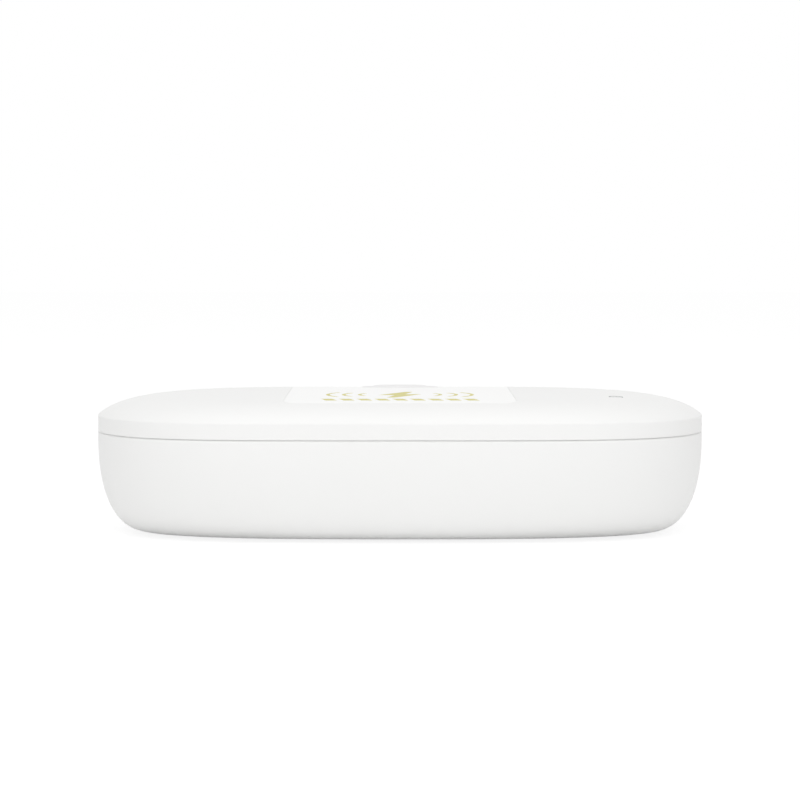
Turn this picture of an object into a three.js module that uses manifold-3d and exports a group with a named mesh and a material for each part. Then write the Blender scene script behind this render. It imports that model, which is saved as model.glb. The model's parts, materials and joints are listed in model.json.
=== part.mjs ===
// A UV sanitizer box for phones: a bowl-like base with a reflective tub and lamps, and a hinged
// lid with a charging inlay on top. Millimetres, +Z up, the front faces -Y.
import * as THREE from "three";
import { mergeVertices } from "three/addons/utils/BufferGeometryUtils.js";
import Module from "manifold-3d";

const wasm = await Module();
wasm.setup();

// Plan outline of the box: |x/halfWidth|^endPower + |y/halfDepth|^frontPower = 1
const halfWidth = 105.5;
const halfDepth = 60;
const endPower = 4.65;
const frontPower = 2.1;
const bottomPower = 2.9;
const outlineSides = 56;

// Heights, from the surface that the box stands on
const footProud = 0.8;
const bowlHeight = 34.26;
const bowlInset = 16.9;
const bowlPower = 2.34;
const seamGap = 0.4;
const lidWallHeight = 5.55;
const domeRise = 7.23;
const domePower = 10.2;
const domeSoftness = 0.86;

// Walls and clearances
const shellWall = 2.2;
const domeWall = 2;
const sheetWall = 1.2;
const clearance = 0.3;
const fuse = 0.5;
const overrun = 2;

const bowlZ = footProud;
const seamZ = bowlZ + bowlHeight;
const baseTopZ = seamZ - seamGap / 2;
const lidBottomZ = seamZ + seamGap / 2;
const rimZ = seamZ + lidWallHeight;
const apexZ = rimZ + domeRise;
const floorZ = bowlZ + shellWall;

// Ring places, as shares of the bowl's height and of the dome's outline
const bowlShares = [0.14, 0.45, 0.66, 0.79, 0.89, 0.95, 0.99, 1];
const bowlInnerShares = [0.14, 0.45, 0.7, 0.87, 0.96, 1];
const domeShares = [1, 0.98, 0.955, 0.92, 0.87, 0.79, 0.6];
const domeInnerShares = [1, 0.97, 0.92, 0.84, 0.7];

// The tub, by its insets from the box's outline
const flangeInset = 2.6;
const flangeDrop = 1.56;
const flangeTopZ = seamZ - flangeDrop;
const lipInset = 4.4;
const lipWall = 1.2;
const lipRise = 3.4;
const tubMouthInset = 9;
const tubFloorInset = 24;
const underTub = 12;
const tubWallShares = [[0, 0], [0.14, 0.4], [0.32, 0.78], [0.6, 0.95], [1, 1]];
const tubUnderZ = floorZ + underTub;
const tubFloorZ = tubUnderZ + sheetWall;
const tubDepth = flangeTopZ - tubFloorZ;
const flangeUnderZ = flangeTopZ - sheetWall;

// The ledge in the base that carries the tub's flange
const ledgeInset = 4.6;
const ledgeHeight = 1.6;
const ledgeTopZ = flangeUnderZ - clearance;

// The gasket lies on the flange, between the base's wall and the tub's lip
const gasketInset = 2.7;
const gasketWidth = 1.2;
const gasketTopZ = lidBottomZ - clearance;

// The lid's reflective ceiling
const skirtInset = shellWall + clearance;
const skirtWall = 1;
const skirtTopDrop = 0.1;
const ceilingInset = 4.6;
const ceilingWall = 1;

// Hinge, at the middle of the rear
const hingeReach = 1.4;
const hingeRise = 2.54;
const knuckleRadius = 2.4;
const knuckleGap = 0.4;
const pinRadius = 1;
const lidKnuckleWidth = 28;
const baseKnuckleWidth = 14;
const knuckleSides = 16;
const knuckleWebShare = 0.8;
const hingeY = halfDepth + hingeReach;
const hingeZ = seamZ + hingeRise;
const hingeWidth = lidKnuckleWidth + 2 * (baseKnuckleWidth + knuckleGap);
const gussetDrop = 8;

// Feet
const footRadius = 6;
const footSink = 0.7;
const footEndInset = 44;
const footSideInset = 36;
const footX = halfWidth - footEndInset;
const footY = halfDepth - footSideInset;

// Base screws, their bosses in the base and their posts under the tub, by the main board's edges
const boardEndInset = 41;
const boardLength = 2 * (halfWidth - boardEndInset);
const boardDepth = 48;
const screwShank = 1.5;
const screwHead = 2.7;
const screwHeadHeight = 1.9;
const screwHeadSink = 0.4;
const screwEndInset = 17;
const screwSideInset = 8;
const screwX = boardLength / 2 - screwEndInset;
const screwY = boardDepth / 2 - screwSideInset;
const bossRadius = 4.6;
const postRadius = 3.4;
const postTipWall = 0.4;
const screwSides = 12;

// Main board
const boardThickness = 1.6;
const boardLift = 3.2;
const boardZ = floorZ + boardLift;
const boardTopZ = boardZ + boardThickness;
const boardTailWidth = 16;
const boardTailInset = 13;
const boardTailEnd = halfDepth - boardTailInset;
const bossTopZ = boardZ - clearance;

// Power socket at the rear
const socketWidth = 9;
const socketHeight = 3.2;
const socketLength = 8.8;
const socketInset = 6.6;
const socketFrontY = halfDepth - socketInset;
const socketWall = 0.35;
const socketBack = 1;
const socketTongueWidth = 6.4;
const socketTongueHeight = 0.7;
const socketTongueLength = 5.6;

// Parts on the main board
const controlChip = { width: 8, depth: 8, height: 1.2, fromScrew: 22, fromEdge: 16, side: -1 };
const driverChip = { width: 6, depth: 6, height: 1.2, fromScrew: 21, fromEdge: 12, side: 1 };
const beeper = { radius: 4.5, height: 3.6, hole: 0.8, holeDepth: 1.4, fromScrew: 19, fromEdge: 12 };
const boardLink = { width: 10, depth: 2.5 };

// Lamps: a board strip, packages, windows and their bezels
const lampBoardThickness = 1;
const lampSize = 3.5;
const lampHeight = 0.7;
const windowRadius = 5;
const windowThickness = 0.7;
const windowLift = 0.1;
const bezelReach = 1.8;
const bezelLedge = 0.4;
const bezelHeight = 0.6;
const studRadius = 1.5;
const windowSides = 20;
const baseLampInset = 66;
const baseLampX = halfWidth - baseLampInset;
const baseLampBoard = { overhang: 10, width: 14 };
const studToLamp = 16;
const baseStudX = baseLampX - studToLamp;
const lidLampInset = 50;
const lidLampX = halfWidth - lidLampInset;
const lidLampBoard = { overhang: 19, width: 14 };
const lidStudX = lidLampX / 2;

const baseWindowZ = tubUnderZ + windowLift;
const baseLampTopZ = baseWindowZ - clearance;
const baseLampBoardTopZ = baseLampTopZ - lampHeight - clearance;
const baseLampBoardZ = baseLampBoardTopZ - lampBoardThickness;

// Clear rests that hold a phone over the tub's floor
const restThickness = 3;
const restSideInset = 31;
const restHalfLength = halfDepth - restSideInset;
const restHeight = 7;
const restEndInset = 48;
const restX = halfWidth - restEndInset;
const restArchShare = 0.36;
const restArchCount = 4;
const restArchWidth = restHalfLength * restArchShare;
const restArchHeight = 4;
const restCorner = 3;
const restArchSteps = 3;

// Magnets that hold the lid shut, and the sensor beside the lower one
const magnetWidth = 12;
const magnetDepth = 2.4;
const baseMagnetHeight = 4;
const lidMagnetHeight = 1.5;
const magnetInset = 5.3;
const sensor = { width: 7, height: 6, x: 14 };

// Charging stack under the inlay, and the soft oval stop at the inlay's rear
const inlayWidth = 78;
const inlaySideInset = 11;
const inlayDepth = 2 * (halfDepth - inlaySideInset);
const inlayCorner = 5;
const inlayThickness = 0.5;
const stopWidth = 27.8;
const stopDepth = 12;
const stopBrim = 0.3;
const stopCrownWidth = 19.4;
const stopRise = 1;
const stopShoulder = 0.3;
const stopTopWidth = 16.4;
const stopInset = 5;
const stopY = inlayDepth / 2 - stopInset - stopDepth / 2;
const coilInner = 9;
const coilOuter = 21;
const coilThickness = 1;
const ferriteSize = 48;
const ferriteThickness = 0.7;
const chargeBoard = { length: 64, depth: 46, thickness: 1 };
const chargeChip = { size: 7, height: 0.9, y: 15 };
const coilZ = apexZ - domeWall - clearance - coilThickness;
const ferriteZ = coilZ - clearance - ferriteThickness;
const chargeBoardZ = ferriteZ - clearance - chargeBoard.thickness;

// Under the charging stack come the lid's lamps, their windows and the ceiling
const lampBoardGap = 0.6;
const lidLampBoardZ = chargeBoardZ - lampBoardGap - lampBoardThickness;
const lidLampZ = lidLampBoardZ - clearance - lampHeight;
const lidWindowZ = lidLampZ - clearance - windowThickness;
const ceilingTopZ = lidWindowZ + windowThickness + windowLift;
const ceilingZ = ceilingTopZ - ceilingWall;

// Lid screws and their bosses
const lidScrewShank = 1.3;
const lidScrewHead = 2.4;
const lidScrewHeadHeight = 1.3;
const lidScrewLength = 5.5;
const lidBossRadius = 3;
const lidScrewEndInset = 20;
const lidScrewSideInset = 34;
const lidScrewX = halfWidth - lidScrewEndInset;
const lidScrewY = halfDepth - lidScrewSideInset;
const lidScrewZ = ceilingZ - clearance - lidScrewHeadHeight;

// Power button and its switch
const buttonEndInset = 31.3;
const buttonSideInset = 39;
const buttonX = halfWidth - buttonEndInset;
const buttonY = buttonSideInset - halfDepth;
const buttonRadius = 2.2;
const buttonFlange = 3.4;
const buttonFlangeHeight = 0.9;
const buttonTravel = 0.6;
const buttonSides = 16;
const plungerRadius = 1.6;
const plungerLength = 1.1;
const switchSize = 6.2;
const buttonBoard = { width: 14, depth: 12, thickness: 1 };
const halvings = 40;

// Finishes
const finish = (color, roughness, metalness = 0) =>
  new THREE.MeshStandardMaterial({ color, roughness, metalness });
const whitePlastic = finish("#f2f2f1", 0.45);
const inlayPlastic = finish("#f8f8f8", 0.35);
const stopSilicone = finish("#f0f0ef", 0.7);
const mirrorPlastic = finish("#c8ccd0", 0.18, 0.9);
const gasketRubber = finish("#b9bcbe", 0.8);
const footRubber = finish("#8d9092", 0.85);
const steel = finish("#9a9da1", 0.35, 0.9);
const magnetSteel = finish("#85888c", 0.3, 0.9);
const circuitBoard = finish("#1f6b45", 0.5);
const blackPlastic = finish("#1c1d1f", 0.5);
const lampCeramic = finish("#e8e4d8", 0.4);
const clearGlass = finish("#dfe9f2", 0.08);
const clearAcrylic = finish("#e6eef2", 0.1);
const copper = finish("#b87342", 0.4, 0.8);
const ferriteBlack = finish("#3a3a3c", 0.6);

// Solids: a closed geometry becomes a manifold, to be joined and cut
function solid(geometry) {
  const plain = geometry.clone();
  plain.deleteAttribute("normal");
  plain.deleteAttribute("uv");
  const merged = mergeVertices(plain);
  return new wasm.Manifold(
    new wasm.Mesh({
      numProp: 3,
      vertProperties: new Float32Array(merged.attributes.position.array),
      triVerts: new Uint32Array(merged.index.array),
    }),
  );
}

const join = (...solids) => solids.reduce((whole, next) => whole.add(next));
const cut = (body, ...tools) => tools.reduce((whole, tool) => whole.subtract(tool), body);

function geometryOf(body) {
  const mesh = body.getMesh();
  const geometry = new THREE.BufferGeometry();
  geometry.setAttribute("position", new THREE.BufferAttribute(new Float32Array(mesh.vertProperties), 3));
  geometry.setIndex(new THREE.BufferAttribute(new Uint32Array(mesh.triVerts), 1));
  geometry.computeVertexNormals();
  return geometry;
}

// A ring of points round the box's outline, drawn in by an inset and moved towards the rounder
// outline of the bottom by a share
function outlineRing(inset, z, bottomShare = 0, scale = 1) {
  const endP = endPower + (bottomPower - endPower) * bottomShare;
  const frontP = frontPower + (bottomPower - frontPower) * bottomShare;
  return Array.from({ length: outlineSides }, (_, i) => {
    const angle = (i / outlineSides) * Math.PI * 2;
    const c = Math.cos(angle);
    const s = Math.sin(angle);
    return new THREE.Vector3(
      Math.sign(c) * Math.abs(c) ** (2 / endP) * (halfWidth - inset) * scale,
      Math.sign(s) * Math.abs(s) ** (2 / frontP) * (halfDepth - inset) * scale,
      z,
    );
  });
}

// A closed body through rings that climb, turn over and come back, or run from one cap to the other
function loft(rings, { closed = false, topZ = null } = {}) {
  const sides = rings[0].length;
  const points = rings.flat();
  const faces = [];
  const quads = (lower, upper) => {
    for (let i = 0; i < sides; i += 1) {
      const j = (i + 1) % sides;
      const [a, b, c, d] = [lower * sides + i, lower * sides + j, upper * sides + j, upper * sides + i];
      faces.push(a, b, c, a, c, d);
    }
  };
  for (let k = 0; k + 1 < rings.length; k += 1) {
    quads(k, k + 1);
  }
  if (closed) {
    quads(rings.length - 1, 0);
  } else {
    const last = (rings.length - 1) * sides;
    const bottom = points.push(new THREE.Vector3(0, 0, rings[0][0].z)) - 1;
    const top = points.push(new THREE.Vector3(0, 0, topZ ?? rings.at(-1)[0].z)) - 1;
    for (let i = 0; i < sides; i += 1) {
      const j = (i + 1) % sides;
      faces.push(bottom, j, i, top, last + i, last + j);
    }
  }
  const geometry = new THREE.BufferGeometry().setFromPoints(points);
  geometry.setIndex(faces);
  return solid(geometry);
}

// Simple bodies that stand on z
function disc(radius, height, x, y, z, sides = screwSides) {
  const geometry = new THREE.CylinderGeometry(radius, radius, height, sides);
  geometry.rotateX(Math.PI / 2);
  geometry.translate(x, y, z + height / 2);
  return solid(geometry);
}

function slab(width, depth, height, x, y, z) {
  const geometry = new THREE.BoxGeometry(width, depth, height);
  geometry.translate(x, y, z + height / 2);
  return solid(geometry);
}

// A body turned about the vertical through x and y, from a closed profile of radius and height
function turned(profile, x, y, z, sides = screwSides) {
  const points = profile.map(([r, h]) => new THREE.Vector2(r, h));
  const geometry = new THREE.LatheGeometry(points, sides);
  geometry.rotateX(Math.PI / 2);
  geometry.translate(x, y, z);
  return solid(geometry);
}

// A body with its section in y and z, that runs along x
function alongX(points, width, x = 0) {
  const shape = new THREE.Shape(points.map(([y, z]) => new THREE.Vector2(y, z)));
  return extrudedAlongX(shape, width, x);
}

function extrudedAlongX(shape, width, x, curveSegments) {
  const geometry = new THREE.ExtrudeGeometry(shape, { depth: width, bevelEnabled: false, curveSegments });
  geometry.translate(0, 0, -width / 2);
  geometry.applyMatrix4(
    new THREE.Matrix4().makeBasis(
      new THREE.Vector3(0, 1, 0),
      new THREE.Vector3(0, 0, 1),
      new THREE.Vector3(1, 0, 0),
    ),
  );
  geometry.translate(x, 0, 0);
  return solid(geometry);
}

function barrelAlongX(radius, width, x = 0) {
  const geometry = new THREE.CylinderGeometry(radius, radius, width, knuckleSides);
  geometry.rotateZ(Math.PI / 2);
  geometry.translate(x, hingeY, hingeZ);
  return solid(geometry);
}

function roundedPrism(width, depth, corner, z, height) {
  const shape = new THREE.Shape();
  const [x, y] = [width / 2, depth / 2];
  const turns = [
    [x - corner, -y + corner, -Math.PI / 2],
    [x - corner, y - corner, 0],
    [-x + corner, y - corner, Math.PI / 2],
    [-x + corner, -y + corner, Math.PI],
  ];
  turns.forEach(([cx, cy, start]) => shape.absarc(cx, cy, corner, start, start + Math.PI / 2));
  const geometry = new THREE.ExtrudeGeometry(shape, {
    depth: height,
    bevelEnabled: false,
    curveSegments: knuckleSides / 4,
  });
  geometry.translate(0, 0, z);
  return solid(geometry);
}

const corners = [
  ["front_left", -1, -1],
  ["front_right", 1, -1],
  ["rear_left", -1, 1],
  ["rear_right", 1, 1],
];

// Outer and inner bodies of the two shells
const insetAt = (share) => bowlInset * (1 - (1 - share ** bowlPower) ** (1 / bowlPower));
const shareAt = (z) => Math.max(0, (seamZ - z) / bowlHeight);

function bowlBody() {
  const rings = bowlShares.map((share) => outlineRing(insetAt(share), seamZ - share * bowlHeight, share));
  return loft([...rings.reverse(), outlineRing(0, baseTopZ, shareAt(baseTopZ))]);
}

function bowlHollow() {
  const depth = bowlHeight - shellWall;
  const rings = bowlInnerShares.map((share) =>
    outlineRing(insetAt(share) + shellWall, seamZ - share * depth, share),
  );
  return loft([...rings.reverse(), outlineRing(shellWall, seamZ + overrun)]);
}

const domeHeight = (share) => domeRise * (1 - share ** domePower) ** domeSoftness;

function domeBody(inset, wallBottom, drop, shares) {
  const rings = shares.map((share) => outlineRing(inset, rimZ - drop + domeHeight(share), 0, share));
  return loft([outlineRing(inset, wallBottom), ...rings], { topZ: apexZ - drop });
}

const lidOuter = domeBody(0, lidBottomZ, 0, domeShares);

function ringBody(outerInset, innerInset, z, height) {
  return loft(
    [
      outlineRing(outerInset, z),
      outlineRing(outerInset, z + height),
      outlineRing(innerInset, z + height),
      outlineRing(innerInset, z),
    ],
    { closed: true },
  );
}

// Base: the bowl, with its ledge, bosses, foot recesses, socket opening and hinge ears
function baseShell() {
  const bosses = corners.map(([, sx, sy]) =>
    disc(bossRadius, bossTopZ - floorZ + fuse, sx * screwX, sy * screwY, floorZ - fuse),
  );
  const earX = (lidKnuckleWidth + baseKnuckleWidth) / 2 + knuckleGap;
  const gusset = [
    [halfDepth - shellWall / 2, baseTopZ - gussetDrop],
    [hingeY, baseTopZ - gussetDrop / 2],
    [hingeY + knuckleRadius, hingeZ],
    [halfDepth - hingeReach / 2, hingeZ],
    [halfDepth - hingeReach / 2, baseTopZ],
    [halfDepth - shellWall / 2, baseTopZ - fuse],
  ];
  const ears = [-1, 1].map((side) =>
    join(barrelAlongX(knuckleRadius, baseKnuckleWidth, side * earX), alongX(gusset, baseKnuckleWidth, side * earX)),
  );
  const body = join(
    cut(bowlBody(), bowlHollow()),
    ringBody(shellWall - fuse, ledgeInset, ledgeTopZ - ledgeHeight, ledgeHeight),
    ...bosses,
    ...ears,
  );
  const footRecesses = corners.map(([, sx, sy]) =>
    disc(footRadius + clearance, footSink + clearance + overrun, sx * footX, sy * footY, bowlZ - overrun, windowSides),
  );
  const screwHoles = corners.flatMap(([, sx, sy]) => [
    disc(screwShank + clearance, bossTopZ + overrun, sx * screwX, sy * screwY, 0),
    disc(
      screwHead + clearance,
      screwHeadSink + screwHeadHeight + clearance + overrun,
      sx * screwX,
      sy * screwY,
      bowlZ - overrun,
    ),
  ]);
  const socketWindow = slab(
    socketWidth + 2 * clearance,
    socketLength,
    socketHeight + 2 * clearance,
    0,
    socketFrontY,
    boardTopZ,
  );
  return cut(
    body,
    ...footRecesses,
    ...screwHoles,
    socketWindow,
    barrelAlongX(pinRadius + clearance, hingeWidth + overrun),
  );
}

// The tub: flange, lip, walls and floor, with posts and studs below and holes for the windows
function baseLiner() {
  const span = tubFloorInset - tubMouthInset;
  const walls = (shift, drop) =>
    tubWallShares.map(([across, down]) =>
      outlineRing(tubMouthInset - shift + across * span, flangeTopZ - drop - down * tubDepth),
    );
  const lipTopZ = flangeTopZ + lipRise;
  const outer = loft([
    ...walls(sheetWall, sheetWall).reverse(),
    outlineRing(flangeInset, flangeUnderZ),
    outlineRing(flangeInset, flangeTopZ),
    outlineRing(lipInset, flangeTopZ),
    outlineRing(lipInset, lipTopZ),
    outlineRing(lipInset + lipWall, lipTopZ),
    outlineRing(lipInset + lipWall, flangeTopZ),
  ]);
  const hollow = loft([...walls(0, 0).reverse(), outlineRing(tubMouthInset, lipTopZ + overrun)]);
  const posts = corners.map(([, sx, sy]) =>
    disc(postRadius, tubUnderZ + fuse - boardTopZ - clearance, sx * screwX, sy * screwY, boardTopZ + clearance),
  );
  const holes = corners.map(([, sx, sy]) =>
    disc(screwShank + clearance, tubUnderZ - postTipWall - boardTopZ, sx * screwX, sy * screwY, boardTopZ),
  );
  const studs = [-1, 1].map((side) =>
    disc(studRadius, tubUnderZ + fuse - baseLampBoardTopZ - clearance, side * baseStudX, 0, baseLampBoardTopZ + clearance),
  );
  const windows = [-1, 1].map((side) =>
    disc(windowRadius + clearance, sheetWall + 2 * overrun, side * baseLampX, 0, tubUnderZ - overrun, windowSides),
  );
  return cut(join(cut(outer, hollow), ...posts, ...studs), ...holes, ...windows);
}

function rimGasket() {
  const z = flangeTopZ + clearance;
  return ringBody(gasketInset, gasketInset + gasketWidth, z, gasketTopZ - z);
}

function screw(shank, head, headHeight, length) {
  return [
    [0, 0],
    [head, 0],
    [head, headHeight],
    [shank, headHeight],
    [shank, length],
    [0, length],
  ];
}

function mainBoard() {
  const tail = slab(
    boardTailWidth,
    boardTailEnd - boardDepth / 2 + fuse,
    boardThickness,
    0,
    (boardTailEnd + boardDepth / 2 - fuse) / 2,
    boardZ,
  );
  const holes = corners.map(([, sx, sy]) =>
    disc(screwShank + 2 * clearance, boardThickness + 2 * overrun, sx * screwX, sy * screwY, boardZ - overrun),
  );
  return cut(join(slab(boardLength, boardDepth, boardThickness, 0, 0, boardZ), tail), ...holes);
}

// The socket: a flattened tube with a closed back and a tongue inside
function usbSocket() {
  const z = boardTopZ + clearance;
  const stadium = (shrink, length, y) => {
    const radius = socketHeight / 2 - shrink;
    const half = socketWidth / 2 - socketHeight / 2;
    const shape = new THREE.Shape();
    shape.absarc(half, 0, radius, -Math.PI / 2, Math.PI / 2);
    shape.absarc(-half, 0, radius, Math.PI / 2, (3 * Math.PI) / 2);
    const geometry = new THREE.ExtrudeGeometry(shape, { depth: length, bevelEnabled: false, curveSegments: knuckleSides / 4 });
    geometry.rotateX(Math.PI / 2);
    geometry.translate(0, y, z + socketHeight / 2);
    return solid(geometry);
  };
  const shell = cut(
    stadium(0, socketLength, socketFrontY),
    stadium(socketWall, socketLength - socketBack + fuse, socketFrontY + fuse),
  );
  const tongueLength = socketTongueLength + fuse;
  const tongueY = socketFrontY - socketLength + socketBack + tongueLength / 2 - fuse;
  const tongue = slab(
    socketTongueWidth,
    tongueLength,
    socketTongueHeight,
    0,
    tongueY,
    z + (socketHeight - socketTongueHeight) / 2,
  );
  return join(shell, tongue);
}

function beeperBody() {
  const { radius, height, hole, holeDepth } = beeper;
  return [
    [0, 0],
    [radius, 0],
    [radius, height],
    [hole, height],
    [hole, height - holeDepth],
    [0, height - holeDepth],
  ];
}

const bezelProfile = [
  [windowRadius - bezelLedge, 0],
  [windowRadius + bezelReach, 0],
  [windowRadius + bezelReach, bezelHeight],
  [windowRadius - bezelLedge, bezelHeight],
  [windowRadius - bezelLedge, 0],
];

// A rest: a long rib with arches, so that light passes under the phone
function phoneRest(x) {
  const z = tubFloorZ + clearance;
  const top = z + restHeight;
  const shape = new THREE.Shape();
  shape.moveTo(-restHalfLength, z);
  const pitch = (2 * restHalfLength) / restArchCount;
  for (let i = 0; i < restArchCount; i += 1) {
    const middle = -restHalfLength + (i + 1 / 2) * pitch;
    shape.lineTo(middle - restArchWidth / 2, z);
    shape.absellipse(middle, z, restArchWidth / 2, restArchHeight, Math.PI, 0, true);
  }
  shape.lineTo(restHalfLength, z);
  shape.lineTo(restHalfLength, top - restCorner);
  shape.absarc(restHalfLength - restCorner, top - restCorner, restCorner, 0, Math.PI / 2);
  shape.absarc(-restHalfLength + restCorner, top - restCorner, restCorner, Math.PI / 2, Math.PI);
  return extrudedAlongX(shape, restThickness, x, restArchSteps);
}

// Lid: the cap with its dome, screw bosses, hinge knuckle, and recesses for inlay, stop and button
function lidShell() {
  const hollow = domeBody(shellWall, lidBottomZ - overrun, domeWall, domeInnerShares);
  const bossZ = ceilingTopZ + clearance;
  const bosses = corners.map(([, sx, sy]) =>
    disc(lidBossRadius, apexZ - bossZ, sx * lidScrewX, sy * lidScrewY, bossZ).intersect(lidOuter),
  );
  const knuckleWeb = [
    [halfDepth - hingeReach / 2, hingeZ - knuckleRadius / 2],
    [hingeY, hingeZ - knuckleRadius],
    [hingeY, hingeZ + knuckleRadius],
    [halfDepth - hingeReach / 2, hingeZ + knuckleRadius * knuckleWebShare],
  ];
  const knuckle = join(barrelAlongX(knuckleRadius, lidKnuckleWidth), alongX(knuckleWeb, lidKnuckleWidth));
  const earSpan = baseKnuckleWidth + 2 * clearance;
  const earX = (lidKnuckleWidth + baseKnuckleWidth) / 2 + knuckleGap;
  const earRoom = knuckleRadius + knuckleGap;
  const notches = [-1, 1].map((side) =>
    join(
      barrelAlongX(earRoom, earSpan, side * earX),
      alongX(
        [
          [hingeY - earRoom, lidBottomZ - overrun],
          [hingeY + earRoom, lidBottomZ - overrun],
          [hingeY + earRoom, hingeZ],
          [hingeY - earRoom, hingeZ],
        ],
        earSpan,
        side * earX,
      ),
    ),
  );
  const pilots = corners.map(([, sx, sy]) =>
    disc(
      lidScrewShank + clearance,
      lidScrewZ + lidScrewLength + clearance - ceilingTopZ,
      sx * lidScrewX,
      sy * lidScrewY,
      ceilingTopZ,
    ),
  );
  const inlayFloor = domeBody(0, lidBottomZ - overrun, inlayThickness + clearance, domeShares);
  const recess = cut(
    roundedPrism(inlayWidth + 2 * clearance, inlayDepth + 2 * clearance, inlayCorner + clearance, rimZ, domeRise + overrun),
    inlayFloor,
  );
  return cut(
    join(cut(lidOuter, hollow), ...bosses, knuckle),
    ...notches,
    ...pilots,
    recess,
    barrelAlongX(pinRadius + clearance, hingeWidth + overrun),
    disc(buttonRadius + clearance, domeRise + overrun, buttonX, buttonY, rimZ, buttonSides),
  );
}

function chargingInlay() {
  const under = domeBody(0, lidBottomZ - overrun, inlayThickness, domeShares);
  const half = stopWidth / 2 + clearance;
  return cut(
    roundedPrism(inlayWidth, inlayDepth, inlayCorner, rimZ, domeRise + overrun).intersect(lidOuter),
    under,
    turned([[0, 0], [half, 0], [half, domeRise + overrun], [0, domeRise + overrun]], 0, 0, 0, windowSides * 2)
      .scale([1, (stopDepth / 2 + clearance) / half, 1])
      .translate([0, stopY, rimZ]),
  );
}

// The stop: a low crown on a brim, both oval, on the dome like the inlay
function rearStop() {
  const profile = [
    [0, -domeRise],
    [stopWidth / 2, -domeRise],
    [stopWidth / 2, stopBrim],
    [stopCrownWidth / 2, stopBrim],
    [stopCrownWidth / 2, stopRise - stopShoulder],
    [stopTopWidth / 2, stopRise],
    [0, stopRise],
  ];
  const under = domeBody(0, lidBottomZ - overrun, inlayThickness, domeShares);
  const body = turned(profile, 0, 0, 0, windowSides * 2);
  return cut(body.scale([1, stopDepth / stopWidth, 1]).translate([0, stopY, apexZ]), under);
}

// The ceiling: a shallow tray upside down, with a skirt round it
function lidLiner() {
  const skirtTopZ = rimZ - domeWall - clearance - skirtTopDrop;
  const outer = loft([
    outlineRing(skirtInset, lidBottomZ),
    outlineRing(skirtInset, skirtTopZ),
    outlineRing(ceilingInset, ceilingTopZ),
  ]);
  const hollow = loft([
    outlineRing(skirtInset + skirtWall, lidBottomZ - overrun),
    outlineRing(skirtInset + skirtWall, skirtTopZ - skirtTopDrop),
    outlineRing(ceilingInset + skirtWall, ceilingZ),
  ]);
  const studs = [-1, 1].map((side) =>
    disc(studRadius, lidLampBoardZ - clearance - ceilingTopZ + fuse, side * lidStudX, 0, ceilingTopZ - fuse),
  );
  const windows = [-1, 0, 1].map((place) =>
    disc(windowRadius + clearance, ceilingTopZ - ceilingZ + 2 * overrun, place * lidLampX, 0, ceilingZ - overrun, windowSides),
  );
  const holes = corners.map(([, sx, sy]) =>
    disc(lidScrewShank + clearance, ceilingTopZ - ceilingZ + 2 * overrun, sx * lidScrewX, sy * lidScrewY, ceilingZ - overrun),
  );
  return cut(join(cut(outer, hollow), ...studs), ...windows, ...holes);
}

// The button: its top follows the dome, and a flange under the lid's wall keeps it in
const buttonFlangeTopZ = buttonFloorZ() - clearance;
const buttonFlangeZ = buttonFlangeTopZ - buttonFlangeHeight;
const plungerZ = buttonFlangeZ - clearance - plungerLength;

// The lowest point of the dome's inner face over the flange
function buttonFloorZ() {
  const reach = buttonFlange + clearance;
  const x = buttonX + reach;
  const y = Math.abs(buttonY) + reach;
  const [a, b] = [halfWidth - shellWall, halfDepth - shellWall];
  let [low, high] = [0, 1];
  for (let i = 0; i < halvings; i += 1) {
    const share = (low + high) / 2;
    const outside = (x / (a * share)) ** endPower + (y / (b * share)) ** frontPower > 1;
    [low, high] = outside ? [share, high] : [low, share];
  }
  return rimZ - domeWall + domeHeight(high);
}

function powerButton() {
  const stem = disc(buttonRadius, apexZ - buttonFlangeZ, buttonX, buttonY, buttonFlangeZ, buttonSides);
  const flange = disc(buttonFlange, buttonFlangeHeight, buttonX, buttonY, buttonFlangeZ, buttonSides);
  return join(stem.intersect(lidOuter), flange);
}

const buttonBoardZ = ceilingTopZ + clearance;
const switchZ = buttonBoardZ + buttonBoard.thickness + clearance;

function buttonSwitch() {
  const top = plungerZ + plungerLength - buttonTravel - clearance;
  return cut(
    slab(switchSize, switchSize, top - switchZ, buttonX, buttonY, switchZ),
    disc(plungerRadius + clearance, apexZ, buttonX, buttonY, plungerZ - buttonTravel - clearance),
  );
}

// Assembly
const part = new THREE.Group();
const base = new THREE.Group();
const lid = new THREE.Group();
const button = new THREE.Group();
part.add(base, lid, button);

// The hinge stands proud of the rear, so the plan's centre lies a little in front of the origin
part.position.y = -(hingeReach + knuckleRadius) / 2;

function place(group, name, body, material) {
  const mesh = new THREE.Mesh(geometryOf(body), material);
  mesh.name = name;
  group.add(mesh);
}

place(base, "base_shell", baseShell(), whitePlastic);
place(base, "base_liner", baseLiner(), mirrorPlastic);
place(base, "rim_gasket", rimGasket(), gasketRubber);
for (const [corner, sx, sy] of corners) {
  const foot = disc(footRadius, footProud + footSink, sx * footX, sy * footY, 0, windowSides);
  place(base, `foot_${corner}`, foot, footRubber);
  const length = tubUnderZ - postTipWall - clearance - bowlZ - screwHeadSink;
  const profile = screw(screwShank, screwHead, screwHeadHeight, length);
  place(base, `base_screw_${corner}`, turned(profile, sx * screwX, sy * screwY, bowlZ + screwHeadSink), steel);
}
place(base, "main_board", mainBoard(), circuitBoard);
place(base, "usb_socket", usbSocket(), steel);
for (const [name, chip] of [["control_chip", controlChip], ["lamp_driver_chip", driverChip]]) {
  const x = chip.side * (screwX - chip.fromScrew);
  const y = chip.side * (boardDepth / 2 - chip.fromEdge);
  place(base, name, slab(chip.width, chip.depth, chip.height, x, y, boardTopZ + clearance), blackPlastic);
}
const beeperX = screwX - beeper.fromScrew;
const beeperY = beeper.fromEdge - boardDepth / 2;
place(base, "beeper", turned(beeperBody(), beeperX, beeperY, boardTopZ + clearance), blackPlastic);
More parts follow.
